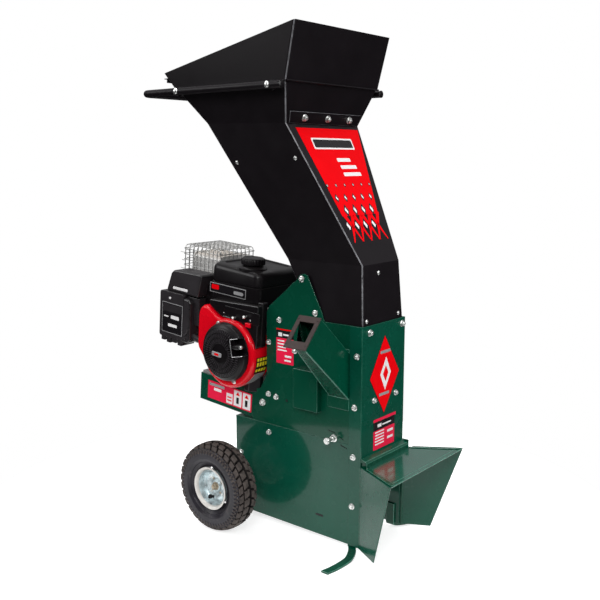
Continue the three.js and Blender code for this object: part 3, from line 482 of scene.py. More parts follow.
def stamp(bm, draw, place, normal=(0, 0, 1), spin=0.0):
    """Draws a small part about its own origin, then turns its Z axis to a normal and moves it."""
    first = len(bm.verts)
    draw(bm)
    bm.verts.ensure_lookup_table()
    turn = Vector(normal).to_track_quat("Z", "Y").to_matrix().to_4x4() @ Matrix.Rotation(spin, 4, "Z")
    bmesh.ops.transform(bm, matrix=Matrix.Translation(Vector(place)) @ turn, verts=bm.verts[first:])


def box_of(node):
    """A node's low and high corners in the machine frame, in millimetres."""
    low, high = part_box(node)
    return (low - ORIGIN) / MM, (high - ORIGIN) / MM


# ---------- sheet metal, frame and hidden works: CAD shapes with rounded edges, worn and with painted highlights ---
SHEET_METAL = {
    "green_paint": {
        0.9: ["stand_back", "housing_plate_near", "housing_plate_far", "housing_back",
              "bearing_cover", "deflector_hood", "engine_platform"],
        1.6: ["chipper_chute"],
    },
    # The lower plates take the lighter green: a painted reflection of the floor.
    "green_painted_reflection": {
        0.9: ["stand_side_near", "stand_side_far", "front_cover", "deflector_side_near",
              "deflector_side_far"],
    },
    # The deflector's top takes the lighter, glossier green: a painted reflection on its face.
    "green_gloss_painted_reflection": {0.9: ["deflector_top"]},
    "black_paint": {1.6: ["belt_guard"]},
    "steel": {0.5: ["discharge_screen", "rotor_shaft", "rotor_disc", "chipper_knife_1", "chipper_knife_2",
                    "rotor_hub", "shredder_blade_1", "shredder_blade_2", "crankshaft"]},
    "cast_metal": {0.8: ["bearing_near", "bearing_far", "rotor_pulley", "engine_pulley", "flywheel",
                         "crankcase", "cylinder", "cylinder_head", "carburettor"]},
    "zinc": {0.5: ["axle", "throttle_lever", "choke_lever", "latch_pin"]},
    "brown_rubber": {1.0: ["chute_mouth_rubber"]},
    "belt_rubber": {0.8: ["drive_belt"]},
    "muffler_steel": {2.0: ["muffler"]},
    "red_plastic": {1.0: ["stop_switch"]},
    "black_plastic": {2.2: ["recoil_cover"], 1.2: ["oil_filler_cap"]},
    "grained_plastic": {4.0: ["air_cleaner_body", "air_cleaner_cover"]},
}
for material, widths in SHEET_METAL.items():
    for bevel, nodes in widths.items():
        for node in nodes:
            refined(node, bevel, material, 3 if bevel > 1.5 else 2)


# ---------- legs ----------
LEG_ROOT, LEG_SOLE, LEG_END = 99, 225, 251.9
LEG_HALF_THICK, LEG_HALF_WIDE, LEG_BOW = 3, 15, 20


def leg_bar(side, name):
    """A flat bar that comes down inside the stand, bends out and is bowed forward to its sole."""
    line = [(95.2, 74), (95.2, 30), (95.2, 17), (95.5, 14), (96.1, 11.6), (97.4, 10), (99.8, 8.8), (104, 8.1),
            (111.2, 7.6)]
    line += [(111.2 + 113.8 * i / 18, 7.6 - 4.6 * i / 18) for i in range(1, 19)] + [(LEG_END, LEG_HALF_THICK)]
    rings = []
    for i, (out, z) in enumerate(line):
        before, after = line[max(i - 1, 0)], line[min(i + 1, len(line) - 1)]
        run, drop = after[0] - before[0], after[1] - before[1]
        if out >= LEG_SOLE:
            run, drop = 1, 0
        span = math.hypot(run, drop)
        a, b = -drop / span * LEG_HALF_THICK, run / span * LEG_HALF_THICK
        reach = max(0, out - LEG_ROOT)
        root = max(0, 1 - reach / 60)
        middle = -18 + LEG_BOW * math.sin(2.6 * (reach / 153) ** 0.7) - 13 * root
        half = LEG_HALF_WIDE * (0.76 + 0.16 * root)
        rings.append([(middle + way * half, side * (out + turn * a), z + turn * b)
                      for way, turn in ((-1, 1), (1, 1), (1, -1), (-1, -1))])
    bm = bmesh.new()
    skin(bm, rings)
    piece(f"leg_{name}_finished", bm, "green_paint", replaces=(f"leg_{name}",), bevel=1.2)


for side, name in SIDES:
    leg_bar(side, name)

# ---------- where the outer faces of the plates stand ----------
SIDE = -box_of("housing_plate_near")[0].y
FLANGE = -box_of("front_cover")[0].y


# ---------- fasteners ----------
def hex_bolt(size, stud=True):
    """A flanged hexagon head of a given flange radius, with the end of its stud showing."""
    def draw(bm):
        lathe(bm, [(0, 0), (size, 0), (size, 0.12 * size), (0.84 * size, 0.22 * size), (0, 0.22 * size)],
              "z", segments=28)
        skin(bm, [[(a, b, z) for a, b in circle(radius, 6)] for radius, z in (
            (0.8 * size, 0.2 * size), (0.8 * size, 0.68 * size), (0.7 * size, 0.78 * size))])
        if stud:
            lathe(bm, [(0, 0.7 * size), (0.42 * size, 0.7 * size), (0.42 * size, 1.0 * size),
                       (0.34 * size, 1.06 * size), (0, 1.06 * size)], "z", segments=16)
    return draw


def dome_bolt(size):
    """A low round head on a thin washer."""
    def draw(bm):
        profile = [(0, 0), (1.15 * size, 0), (1.15 * size, 0.12 * size), (size, 0.16 * size)]
        for i in range(1, 6):
            turn = math.radians(18 * i)
            profile.append((size * math.cos(turn), 0.16 * size + 0.5 * size * math.sin(turn)))
        lathe(bm, profile, "z", segments=24)
    return draw


def bolts(name, draw, places, normal, space=MACHINE, body="chassis", seed=1):
    spins = random.Random(seed)
    bm = bmesh.new()
    for place in places:
        stamp(bm, draw, place, normal, spins.uniform(0, math.pi / 3))
    piece(name, bm, "zinc", body, space, angle=40)


SIDE_BOLTS = [(-207, 742), (-289, 617), (-329, 548), (-159, 652), (-232, 536), (-331, 393), (-302, 389),
              (-330, 277), (-444, 190)]
FLANGE_BOLTS = [(-16, 552), (-22, 411), (-25, 272), (-27, 131)]
bolts("side_bolts_near", hex_bolt(8.6), [(x, -SIDE, z) for x, z in SIDE_BOLTS], (0, -1, 0))
bolts("side_bolts_far", hex_bolt(8.6), [(x, SIDE, z) for x, z in SIDE_BOLTS if x < -300 or z > 700],
      (0, 1, 0), seed=2)
bolts("flange_bolts_near", hex_bolt(8.6), [(x, -FLANGE, z) for x, z in FLANGE_BOLTS], (0, -1, 0), seed=3)
bolts("flange_bolts_far", hex_bolt(8.6), [(x, FLANGE, z) for x, z in FLANGE_BOLTS], (0, 1, 0), seed=4)
bolts("front_bolts", hex_bolt(9.4), [(0, -69, 613), (0, 88, 615)], (1, 0, 0), seed=5)
bolts("cover_bolts", hex_bolt(8.2), [(0, -45, 422), (0, 61, 422)], (1, 0, 0), seed=6)
bolts("pivot_bolts", hex_bolt(10.5), [(PIVOT.x, -SIDE, PIVOT.z)], (0, -1, 0), seed=7)
bolts("pivot_bolts_far", hex_bolt(10.5), [(PIVOT.x, SIDE, PIVOT.z)], (0, 1, 0), seed=8)


# ---------- hopper ----------
BEND_LOW = Vector((-210, 0, 1160))
BEND_HIGH = Vector((-176, 0, 1262))
PANEL_FOOT = Vector((-13, 0, 792))
CHIN_FOOT = Vector((-3.5, 0, 633))
BEND_HALF, PANEL_HALF, RIM_HALF = 163, 89, 204.5
MOUTH_NORMAL = Vector((BEND_HIGH.z - BEND_LOW.z, 0, BEND_LOW.x - BEND_HIGH.x)).normalized()


def between(low, high, z):
    """The point of a straight line that is at a height."""
    return low.lerp(high, (z - low.z) / (high.z - low.z))


def sheet_duct(name, levels, node, wall=2.5, corner=7):
    """A four-sided duct of sheet metal through levels of (front, rear, half width, front Z, rear Z)."""
    arc = 12

    def ring(front, rear, half, front_z, rear_z, inset):
        outline = rounded(rear + inset, front - inset, inset - half, half - inset, corner - inset, arc)
        return [(x, y, rear_z + (front_z - rear_z) * (x - rear) / (front - rear)) for x, y in outline]

    outside = []
    for lower, upper in zip(levels, levels[1:]):
        for i in range(8):
            outside.append([a + (b - a) * i / 8 for a, b in zip(lower, upper)])
    outside.append(list(levels[-1]))
    rings = [ring(*level, 0) for level in outside] + [ring(*level, wall) for level in reversed(outside)]
    bm = bmesh.new()
    skin(bm, rings, closed=True)
    bm.faces.ensure_lookup_table()
    # The rims and a strip down the middle of each corner take the lighter edge black: wear and a painted highlight.
    around = 4 * (arc + 1)
    for i, face in enumerate(bm.faces):
        on_corner = (i % around) % (arc + 1) not in (0, arc)
        at_rim = i // around in (len(outside) - 1, len(rings) - 1)
        corner_wear_and_highlight = i // around < len(outside) and on_corner and 3 < (i % around) % (arc + 1) < 8
        face.material_index = 1 if at_rim or corner_wear_and_highlight else 0
    shown = piece(name, bm, "black_paint", replaces=(node,), angle=9)
    shown.data.materials.append(MATERIALS["black_wear_and_painted_highlight"])


def hopper():
    sheet_duct("hopper_funnel_shell", [
        (CHIN_FOOT.x, -172, 97.5, 633, 633), (PANEL_FOOT.x, -270, PANEL_HALF, 792, 792),
        (BEND_LOW.x, -503, BEND_HALF, 1160, 1165), (BEND_HIGH.x, -582, RIM_HALF, 1262, 1262),
    ], "hopper_funnel")
    sheet_duct("hopper_collar_shell", [(-173, -586, 208, 1263, 1263), (-138, -622, 214, 1407, 1306)],
               "hopper_collar")


def hopper_strap():
    """The thin strip that ties the hopper's front bend, with its three bolts."""
    bm = bmesh.new()
    rings = []
    for lift in (0.3, 3.2):
        low = between(BEND_LOW, BEND_HIGH, 1161) + MOUTH_NORMAL * lift
        high = between(BEND_LOW, BEND_HIGH, 1191) + MOUTH_NORMAL * lift
        rings.append([(low.x, -153, low.z), (low.x, 153, low.z), (high.x, 160, high.z),
                      (high.x, -160, high.z)])
    skin(bm, rings)
    piece("hopper_strap", bm, "black_paint", bevel=0.8)
    places = []
    for y in (-96, 5, 104):
        seat = between(BEND_LOW, BEND_HIGH, 1176) + MOUTH_NORMAL * 3.2
        places.append((seat.x, y, seat.z))
    bolts("strap_bolts", hex_bolt(10), places, MOUTH_NORMAL, seed=9)


def hopper_rivets():
    places = []
    for y, z in ((-16, 767), (-79, 644), (74, 646)):
        places.append((between(CHIN_FOOT, PANEL_FOOT, z).x, y, z))
    bolts("hopper_rivets_front", dome_bolt(5.2), places, (1, 0, 0.06), seed=10)
    rise = BEND_LOW.z - PANEL_FOOT.z
    lean = (BEND_HALF - PANEL_HALF) / rise
    for side, name in SIDES:
        places = []
        for x, z in ((-407, 1057), (-193, 1069)):
            places.append((x, side * (PANEL_HALF + lean * (z - PANEL_FOOT.z)), z))
        bolts(f"hopper_rivets_{name}", dome_bolt(5.2), places, (0, side, -lean), seed=11)


def hopper_lips():
    """Rounded hems along the collar's rim and the step where the collar sits on the funnel."""
    low, high = box_of("hopper_collar")
    half = high.y
    rear, rear_z = low.x, 1306
    bm = bmesh.new()
    slab(bm, rear + 1, rear + 15, -half + 1, half - 1, rear_z - 16, rear_z - 13.5)
    slab(bm, rear + 9, rear + 11.5, -half + 3, half - 3, rear_z - 26, rear_z - 14)
    piece("collar_rear_hem", bm, "black_paint", bevel=0.8)
    step = [(-171, -206.5, 1263.5), (-171, 206.5, 1263.5), (-584, 206.5, 1263.5), (-584, -206.5, 1263.5)]
    bm = bmesh.new()
    for start, end in zip(step, step[1:] + step[:1]):
        tube(bm, [start, end], 2.2, 8)
    piece("collar_step", bm, "black_paint")


def rail_brackets():
    """Spacers between the handle's rails and the hopper, with the bolts through them."""
    bm = bmesh.new()
    for side in (-1, 1):
        for x in (-555, -215):
            turned = [(13, side * 208), (13, side * 214), (8, side * 216)]
            lathe(bm, turned, "y", x, 1253, 20)
    piece("rail_spacers", bm, "black_paint")
    for side, name in SIDES:
        places = [(x, side * 231.5, 1253) for x in (-555, -215)]
        bolts(f"rail_bolts_{name}", dome_bolt(7.6), places, (0, side, 0), seed=12)
    bm = bmesh.new()
    end = box_of("push_handle")[1].x
    for side in (-1, 1):
        lathe(bm, [(0, end - 3), (10.4, end - 3), (10.4, end), (7, end + 1.5), (0, end + 1.5)],
              "x", side * 223, 1253, 24)
    piece("rail_end_caps", bm, "black_plastic")


def smooth_handle():
    """The bent tube, drawn round."""
    low, high = box_of("push_handle")
    half, bend, radius = 223, 34, 10
    points = [(high.x - 2, -half, 1253)]
    for side in (-1, 1):
        for i in range(9):
            turn = math.radians(90 * (i if side < 0 else 8 - i) / 8)
            points.append((low.x + radius + bend - bend * math.sin(turn),
                           side * (half - bend + bend * math.cos(turn)), 1253))
    points.append((high.x - 2, half, 1253))
    bm = bmesh.new()
    tube(bm, points, radius, 24)
    piece("handle_tube", bm, "black_paint", replaces=("push_handle",), angle=60)


hopper()
hopper_strap()
hopper_rivets()
hopper_lips()
rail_brackets()
smooth_handle()


# ---------- body details ----------
def seams():
    """Black marks of painted shade for the near side's slots and hole; light green beads on the front cover's edges
    as painted highlights.
    """
    bm = bmesh.new()
    for x0, z0, x1, z1 in ((-112, 330, -88, 326), (-74, 318, -60, 312), (-70, 296, -48, 290)):
        tube(bm, [(x0, -SIDE - 0.2, z0), (x1, -SIDE - 0.2, z1)], 0.9, 8)
    lathe(bm, [(0, -SIDE - 0.6), (4.2, -SIDE - 0.6), (4.2, -SIDE + 0.5)], "y", -262, 385, 20)
    prism(bm, rounded(-156, -128, 70, 76, 2.8), "y", -SIDE - 0.5, -SIDE + 0.5)
    # The slots and the hole are black plates: painted shade where the openings are.
    piece("side_slots_painted_shade", bm, "label_black")
    bm = bmesh.new()
    top = FLANGE - 1.5
    for side in (-1, 1):
        tube(bm, [(-1.4, side * top, 262), (-1.4, side * top, 630)], 1.6, 8)
    # The beads are in the lighter edge green: a painted highlight along the cover's edges.
    piece("cover_edge_painted_highlights", bm, "green_wear_and_painted_highlight")


def chute_beads():
    """Light green lines along the chute's two lower edges as a painted highlight, and the pins of its mouth rubber.
    """
    low, high = box_of("chipper_chute")
    slope = CHUTE_SLOPE
    out = Vector((0, -math.cos(slope), math.sin(slope)))
    down = Vector((0, -math.sin(slope), -math.cos(slope)))
    root = Vector((0, -SIDE - 0.3, 556))
    bm = bmesh.new()
    foot_out = -95 * math.tan(slope)
    for x in (high.x - 2.2, low.x + 5.2):
        start = root + out * (foot_out + 4) + down * 94
        end = root + out * 164 + down * 94
        drawn_in = 35 if x < -90 else 0
        tube(bm, [(x, start.y, start.z), (x + drawn_in, end.y, end.z)], 2.0, 8)
    # Both lines are light green paint: a painted highlight along the chute's lower edges.
    piece("chute_edge_painted_highlights", bm, "green_wear_and_painted_highlight")
    bm = bmesh.new()
    low, high = box_of("chute_mouth_rubber")
    for x in (low.x + 5, high.x - 5):
        for depth in (9, 84):
            seat = root + out * 172.2 + down * depth
            stamp(bm, dome_bolt(2.2), (x, seat.y, seat.z), out)
    piece("mouth_rubber_pins", bm, "brown_rubber")


def deflector_folds():
    """The hem, hinge edges and folded lips of the deflector, and the cover over its hood."""
    bm = bmesh.new()
    low, high = box_of("deflector_top")
    tip = Vector((high.x - 1, 0, high.z))
    # The hem lines are in the lighter edge green: wear and a painted highlight along the deflector's front edge.
    tube(bm, [(tip.x, low.y + 3, tip.z - 1.6), (tip.x, high.y - 3, tip.z - 1.6)], 1.7, 8)
    tube(bm, [(tip.x - 11, low.y + 11, tip.z - 0.9), (tip.x - 11, high.y - 11, tip.z - 0.9)], 0.9, 8)
    piece("deflector_front_hem", bm, "green_wear_and_painted_highlight", "deflector")
    bm = bmesh.new()
    for side in (-1, 1):
        tube(bm, [(1.0, side * 104.6, 16), (1.0, side * 104.6, 249)], 3.6, 10)
    piece("deflector_hinge_edges", bm, "green_paint", "deflector")
    bm = bmesh.new()
    prism(bm, [(0.5, 271), (0.5, 273), (16, 268.5), (20.5, 263.5), (20.5, 243), (18.7, 243), (18.7, 262.5),
               (14.8, 266.8)], "y", -105, 105)
    slab(bm, 0.5, 20.5, 103, 105, 243, 276)
    piece("hood_cover", bm, "green_paint", bevel=0.7)
    for side, name in SIDES:
        bm = bmesh.new()
        edge = [(27, side * 117.5), (148, side * 181.5)]
        inner = [(148, side * 168), (27, side * 104)]
        skin(bm, [[(x, y, 252.4 + 0.0397 * x + lift) for x, y in edge + inner] for lift in (-0.6, 1.6)])
        piece(f"deflector_fold_{name}", bm, "green_paint", "deflector", bevel=0.8)


def latch_details():
    """The guide tube and the knob of the platform latch."""
    low, high = box_of("latch_pin")
    x, z = (low.x + high.x) / 2, (low.z + high.z) / 2
    bm = bmesh.new()
    lathe(bm, [(11, -SIDE), (11, -SIDE - 1.5), (7.5, -SIDE - 2.5), (7.5, -SIDE - 12), (5.6, -SIDE - 12),
               (5.6, -SIDE)], "y", x, z, 24, closed=True)
    piece("latch_guide", bm, "zinc")
    bm = bmesh.new()
    lathe(bm, [(0, low.y - 0.4), (7.6, low.y - 0.4), (9.4, low.y + 1.4), (9.4, low.y + 5), (5.4, low.y + 6.5),
               (5.2, -SIDE - 1)], "y", x, z, 28)
    piece("latch_knob", bm, "zinc", "latch_pin")


seams()
chute_beads()
deflector_folds()
latch_details()


# ---------- wheels ----------
WHEEL = Vector((-419, 227, 130))
BLOCKS = 30


def step_up(value, low, high):
    t = min(1, max(0, (value - low) / (high - low)))
    return t * t * (3 - 2 * t)


def tread_height(turn, lean):
    """How far the tyre's surface stands out, by turn round the axle and lean across the section."""
    side = abs(lean)
    if side < 52:
        row = 0 if side < 26 else 1
        low, high = (1.5, 24.5) if row == 0 else (27.5, 51)
        shift = 0.5 * row + (0.25 if lean > 0 else 0)
        phase = (turn * BLOCKS + shift + 0.012 * (side - low)) % 1
        across = step_up(side, low - 1.5, low + 1.5) * (1 - step_up(side, high - 1.5, high + 1.5))
        along = step_up(phase, 0.06, 0.13) * (1 - step_up(phase, 0.87, 0.94))
        return 6.4 * across * along
    if side < 84:
        phase = (turn * BLOCKS * 2 + (0.5 if side < 66 else 0)) % 1
        along = step_up(phase, 0.12, 0.25) * (1 - step_up(phase, 0.7, 0.85))
        across = step_up(side, 53, 56) * (1 - step_up(side, 80, 84))
        return 3.2 * across * along
    ridge = math.exp(-((side - 104) / 4) ** 2) + math.exp(-((side - 124) / 3) ** 2)
    return 1.1 * ridge


def tyre(side, name):
    """A knobbly tyre: one skin whose height follows the tread pattern."""
    bm = bmesh.new()
    turns, leans = BLOCKS * 12, [-132 + 264 * i / 88 for i in range(89)]
    rings = []
    for i in range(turns):
        turn = i / turns
        ring = []
        for lean in leans:
            angle = math.radians(lean)
            across, out = math.sin(angle), math.cos(angle)
            height = tread_height(turn, lean)
            radius = 97 + (26.6 + height) * math.copysign(abs(out) ** 0.75, out)
            width = (39.5 + 0.6 * height) * math.copysign(abs(across) ** 0.8, across)
            ring.append((radius, width))
        ring += [(66.5, 29), (64, 26), (64, -26), (66.5, -29)]
        spin = 2 * math.pi * turn
        rings.append([(WHEEL.x + radius * math.cos(spin), side * WHEEL.y + width,
                       WHEEL.z + radius * math.sin(spin)) for radius, width in ring])
    skin(bm, rings, closed=True)
    around = len(rings[0])
    # Tread tops take the dusty brown rubber; the grooves between them take the darkest rubber as painted shade.
    for i, face in enumerate(bm.faces):
        lean = -132 + 3 * (i % around + 0.5)
        height = tread_height((i // around + 0.5) / turns, lean)
        if abs(lean) < 52:
            face.material_index = 1 if height > 4.5 else 2
        elif abs(lean) < 84:
            face.material_index = 1 if height > 2.4 else 0
    shown = piece(f"tyre_rubber_{name}", bm, "tyre_rubber", f"wheel_{name}", replaces=(f"tyre_{name}",),
                  angle=50)
    shown.data.materials.append(MATERIALS["tread_top"])
    shown.data.materials.append(MATERIALS["recess_painted_shade"])


def rim(side, name):
    """A pressed rim with a rolled flange, a dished centre, a hub tube, four rivets and a valve."""
    body = f"wheel_{name}"
    centre = side * WHEEL.y

    def outward(profile):
        return [(radius, centre + side * along) for radius, along in profile]

    bm = bmesh.new()
    face = [(54, 24), (51.5, 12), (46, 5), (38, 8), (30, 4.5), (24, 3), (19.5, 4), (17, 6), (16.5, 8),
            (14.5, 9), (9, 9)]
    back = [(9, -28.5), (16.5, -27), (16.5, -6), (24, -2), (38, 3), (48, -1), (50, -10), (53, -22), (56, -28),
            (50.5, -20), (47.5, 0), (49.5, 20), (52, 27)]
    lathe(bm, outward(face + back), "y", WHEEL.x, WHEEL.z, 72, closed=True)
    piece(f"rim_dish_{name}", bm, "rim_zinc", body, replaces=(f"rim_{name}",), angle=50)
    bm = bmesh.new()
    for way in (1, -1):
        flange = [(53, 25), (55.5, 31), (58, 34.4), (60.6, 35.4), (62.6, 34.4), (62.6, 32), (60.5, 30), (57.5, 26)]
        lathe(bm, [(radius, centre + way * along) for radius, along in flange], "y", WHEEL.x, WHEEL.z, 72,
              closed=True)
    piece(f"rim_flange_{name}", bm, "rim_flange", body, angle=50)
    bm = bmesh.new()
    for i in range(4):
        turn = math.radians(45 + 90 * i)
        place = (WHEEL.x + 31 * math.cos(turn), centre + side * 3.6, WHEEL.z + 31 * math.sin(turn))
        stamp(bm, hex_bolt(4.6), place, (0, side, 0), 0.3 * i)
    piece(f"rim_rivets_{name}", bm, "zinc", body)
    bm = bmesh.new()
    low = (WHEEL.x - 12, centre + side * 4, WHEEL.z - 37)
    high = (WHEEL.x - 13, centre + side * 17, WHEEL.z - 33)
    tube(bm, [low, high], 4.2, 14)
    tube(bm, [high, (high[0] - 0.4, high[1] + side * 5, high[2] + 1.5)], 6.4, 14)
    piece(f"rim_valve_{name}", bm, "black_plastic", body)
    bm = bmesh.new()
    end = centre + side * 9
    stamp(bm, hex_bolt(12, False), (WHEEL.x, end, WHEEL.z), (0, side, 0))
    lathe(bm, [(0, end), (6.4, end), (6.4, end + side * 12), (5, end + side * 13), (0, end + side * 13)], "y",
          WHEEL.x, WHEEL.z, 20)
    piece(f"axle_nut_{name}", bm, "rust_steel", body)
    bm = bmesh.new()
    for turn in (0.6, 2.2, 3.9, 5.3):
        place = (WHEEL.x + 22.5 * math.cos(turn), centre + side * 3.4, WHEEL.z + 22.5 * math.sin(turn))
        lathe(bm, [(0, place[1]), (3.4, place[1]), (3.4, place[1] + side), (0, place[1] + side)], "y",
              place[0], place[2], 12)
    piece(f"rim_weld_spots_{name}", bm, "rust_steel", body)


for side, name in SIDES:
    tyre(side, name)
    rim(side, name)


# ---------- engine: fan housing and starter ----------
CRANK = (-108, 139)
FAN = (-108, 133, 105.5)
LOBE = [(-130, 60), (-206, 94), (-236, 128), (-236, 200), (-234, 240), (-226, 254), (-215, 261), (-204, 262),
        (-193, 257), (-176, 246), (-156, 234), (-120, 226)]
BLOWER_EYE = (-118, 146)


def reach_of_circle(turn, centre_x, centre_z, radius):
    """Distance from the blower's eye to a circle, in a direction."""
    dx, dz = math.cos(turn), math.sin(turn)
    ox, oz = BLOWER_EYE[0] - centre_x, BLOWER_EYE[1] - centre_z
    along = ox * dx + oz * dz
    return -along + math.sqrt(along * along - (ox * ox + oz * oz) + radius * radius)


def reach_of_outline(turn, outline):
    """Distance from the blower's eye to the farthest side of a closed outline, in a direction."""
    dx, dz = math.cos(turn), math.sin(turn)
    best = 0
    for (ax, az), (bx, bz) in zip(outline, outline[1:] + outline[:1]):
        ex, ez = bx - ax, bz - az
        span = dx * ez - dz * ex
        if abs(span) < 1e-9:
            continue
        wx, wz = ax - BLOWER_EYE[0], az - BLOWER_EYE[1]
        distance = (wx * ez - wz * ex) / span
        portion = (wx * dz - wz * dx) / span
        if distance > 0 and 0 <= portion <= 1:
            best = max(best, distance)
    return best


def blower_housing():
    """The red pan over the flywheel: a rolled front edge and a lobe towards the cylinder."""
    count = 180
    turns = [2 * math.pi * i / count for i in range(count)]
    raw = [max(reach_of_circle(turn, *FAN), reach_of_outline(turn, LOBE)) for turn in turns]
    reach = [sum(raw[(i + k) % count] for k in (-2, -1, 0, 1, 2)) / 5 for i in range(count)]
    hole = [reach_of_circle(turn, *CRANK, 80) for turn in turns]

    def ring(y, inset=None):
        spans = hole if inset is None else [distance - inset for distance in reach]
        return [(BLOWER_EYE[0] + span * math.cos(turn), y, BLOWER_EYE[1] + span * math.sin(turn))
                for span, turn in zip(spans, turns)]

    rings = [ring(-76, 0), ring(-84, 0), ring(-86, 1.6), ring(-90, 1.6), ring(-92, 0.4), ring(-136, 0.8)]
    for i in range(1, 8):
        bend = math.radians(90 * i / 7)
        rings.append(ring(-136 - 13.5 * math.sin(bend), 0.8 + 11 * (1 - math.cos(bend))))
    rings += [ring(-149.8), ring(-146.8), ring(-146.8, 14), ring(-136, 3.6), ring(-76, 3)]
    bm = bmesh.new()
    skin(bm, rings, closed=True)
    piece("fan_housing", bm, "red_plastic", space=ENGINE, replaces=("blower_housing",), angle=45)


def side_shroud():
    """The red apron that turns the fan's air into the engine's side, over the crankcase cover."""
    engine_plate("side_shroud", "red_plastic", [(-62, -112), (-30, -112), (-14, -100), (-14, -80), (-62, -80)],
                 86, 162, "z", bevel=3, segments=3)
    engine_plate("engine_foot_cover", "black_plastic", [(-64, -116), (-46, -116), (-20, -96), (-20, -80), (-64, -80)],
                 24, 70, "z", bevel=2)


def wall_patch(name, material, low, high, front, rear, lift, skew=0.0):
    """A thin plate wrapped on the fan housing's round wall, between two angles."""
    bm = bmesh.new()
    rings = []
    for i in range(17):
        turn = low + (high - low) * i / 16
        near = front + skew * (turn - low)
        rings.append([(FAN[0] + reach * math.cos(turn), y, FAN[1] + reach * math.sin(turn))
                      for reach, y in ((104.2, near), (104.2, rear), (105.6 + lift, rear), (105.6 + lift, near))])
    skin(bm, rings)
    piece(name, bm, material, space=ENGINE, angle=60)


def wall_patches():
    """The sticker on the housing's wall, its plain yellow patches and the bright cover plate under it."""
    wall_patch("shroud_sticker", "label_black", -0.42, 0.06, -135, -86, 0)
    for row, (low, high) in enumerate(((-0.36, -0.27), (-0.19, -0.08), (-0.04, 0.04))):
        for i in range(4):
            front = -132 + 11.5 * i
            wall_patch(f"sticker_patch_{row}_{i}", "label_yellow", low, high, front, front + 7.5, 0.5)
    wall_patch("crankcase_cover", "cast_metal", -0.84, -0.44, -138, -84, 0.6, 24)


def dome_face(reach):
    """How far forward the starter's cover stands at a distance from the crank line."""
    profile = [(0, -180.3), (54, -178.3), (72, -174.3), (84, -165.3), (88, -155.3)]
    for (r0, y0), (r1, y1) in zip(profile, profile[1:]):
        if reach <= r1:
            return y0 + (y1 - y0) * (reach - r0) / (r1 - r0)
    return profile[-1][1]


def recoil_details():
    """Air slots, ribs and a centre badge on the starter's cover, its screws and the rim of its notch; the lighter
    ribs and the silver rim are painted highlights.
    """
    x0, z0 = CRANK
    turn_back = 0.25

    def in_notch(x, z, margin=2):
        dx, dz = x + 41, z - 171
        a = dx * math.cos(turn_back) + dz * math.sin(turn_back)
        b = -dx * math.sin(turn_back) + dz * math.cos(turn_back)
        return abs(a) < 26 + margin and -27 - margin < b < 24 + margin

    bm = bmesh.new()
    for inner, outer, count in ((33, 44, 36), (48, 58, 48), (62, 70, 60)):
        for i in range(count):
            turn = 2 * math.pi * i / count
            ends = [(reach, x0 + reach * math.cos(turn), z0 + reach * math.sin(turn)) for reach in (inner, outer)]
            if any(in_notch(x, z) for _, x, z in ends):
                continue
            along = [(x, dome_face(reach) - 0.2, z) for reach, x, z in ends]
            side = Vector((-math.sin(turn), 0, math.cos(turn)))
            rings = []
            for lift, wide in ((0.8, 1.7), (-3.0, 1.1)):
                (ax, ay, az), (bx, by, bz) = along
                rings.append([(ax - side.x * wide, ay + lift, az - side.z * wide),
                              (bx - side.x * wide, by + lift, bz - side.z * wide),
                              (bx + side.x * wide, by + lift, bz + side.z * wide),
                              (ax + side.x * wide, ay + lift, az + side.z * wide)])
            skin(bm, rings)
    # The ribs take a lighter copy of the black plastic: a painted highlight on their raised edges.
    piece("recoil_ribs", bm, "rib_plastic_painted_highlight", space=ENGINE)
    bm = bmesh.new()
    for radius in (30.5, 46, 60.5, 74):
        points = []
        for i in range(145):
            turn = math.radians(360 * i / 144)
            x, z = x0 + radius * math.cos(turn), z0 + radius * math.sin(turn)
            inside = in_notch(x, z, 3)
            if not inside:
                points.append((x, dome_face(radius) - 0.8, z))
            if (inside or i == 144) and len(points) > 1:
                tube(bm, points, 1.3, 8)
            if inside:
                points = []
    piece("recoil_rings", bm, "black_plastic", space=ENGINE, angle=60)
    bm = bmesh.new()

    def notch_point(a, b, y):
        c, d = math.cos(turn_back), math.sin(turn_back)
        return (-41 + a * c - b * d, y, 171 + a * d + b * c)

    # The notch's rim is drawn as thin silver lines: a painted highlight along its edges.
    for a0, b0, a1, b1 in ((-26, -27, -26, 22), (-26, 24, -4, 24), (-26, -27, 6, -27)):
        line = []
        for i in range(9):
            x, _, z = notch_point(a0 + (a1 - a0) * i / 8, b0 + (b1 - b0) * i / 8, 0)
            reach = math.hypot(x - x0, z - z0)
            if reach < 86:
                line.append((x, dome_face(reach) - 0.3, z))
        if len(line) > 1:
            tube(bm, line, 0.9, 8)
    piece("notch_rim_painted_highlight", bm, "label_silver", space=ENGINE)
    engine_plate("recoil_badge", "label_silver", rounded(-139, -100, 127, 140, 4),
                 RECOIL_FACE - 1.4, RECOIL_FACE + 0.4, bevel=0.5)
    engine_plate("recoil_badge_bar", "label_red", rounded(-128, -111, 130.5, 136.5, 2),
                 RECOIL_FACE - 1.9, RECOIL_FACE - 1.2)
    bm = bmesh.new()
    for x, z in ((-146, 217), (-72, 56), (-194, 108)):
        stamp(bm, hex_bolt(7, False), (x, -151, z), (0, -1, 0), 0.4)
    piece("recoil_screws", bm, "zinc", space=ENGINE)


RECOIL_FACE = -180.3
blower_housing()
side_shroud()
wall_patches()
recoil_details()


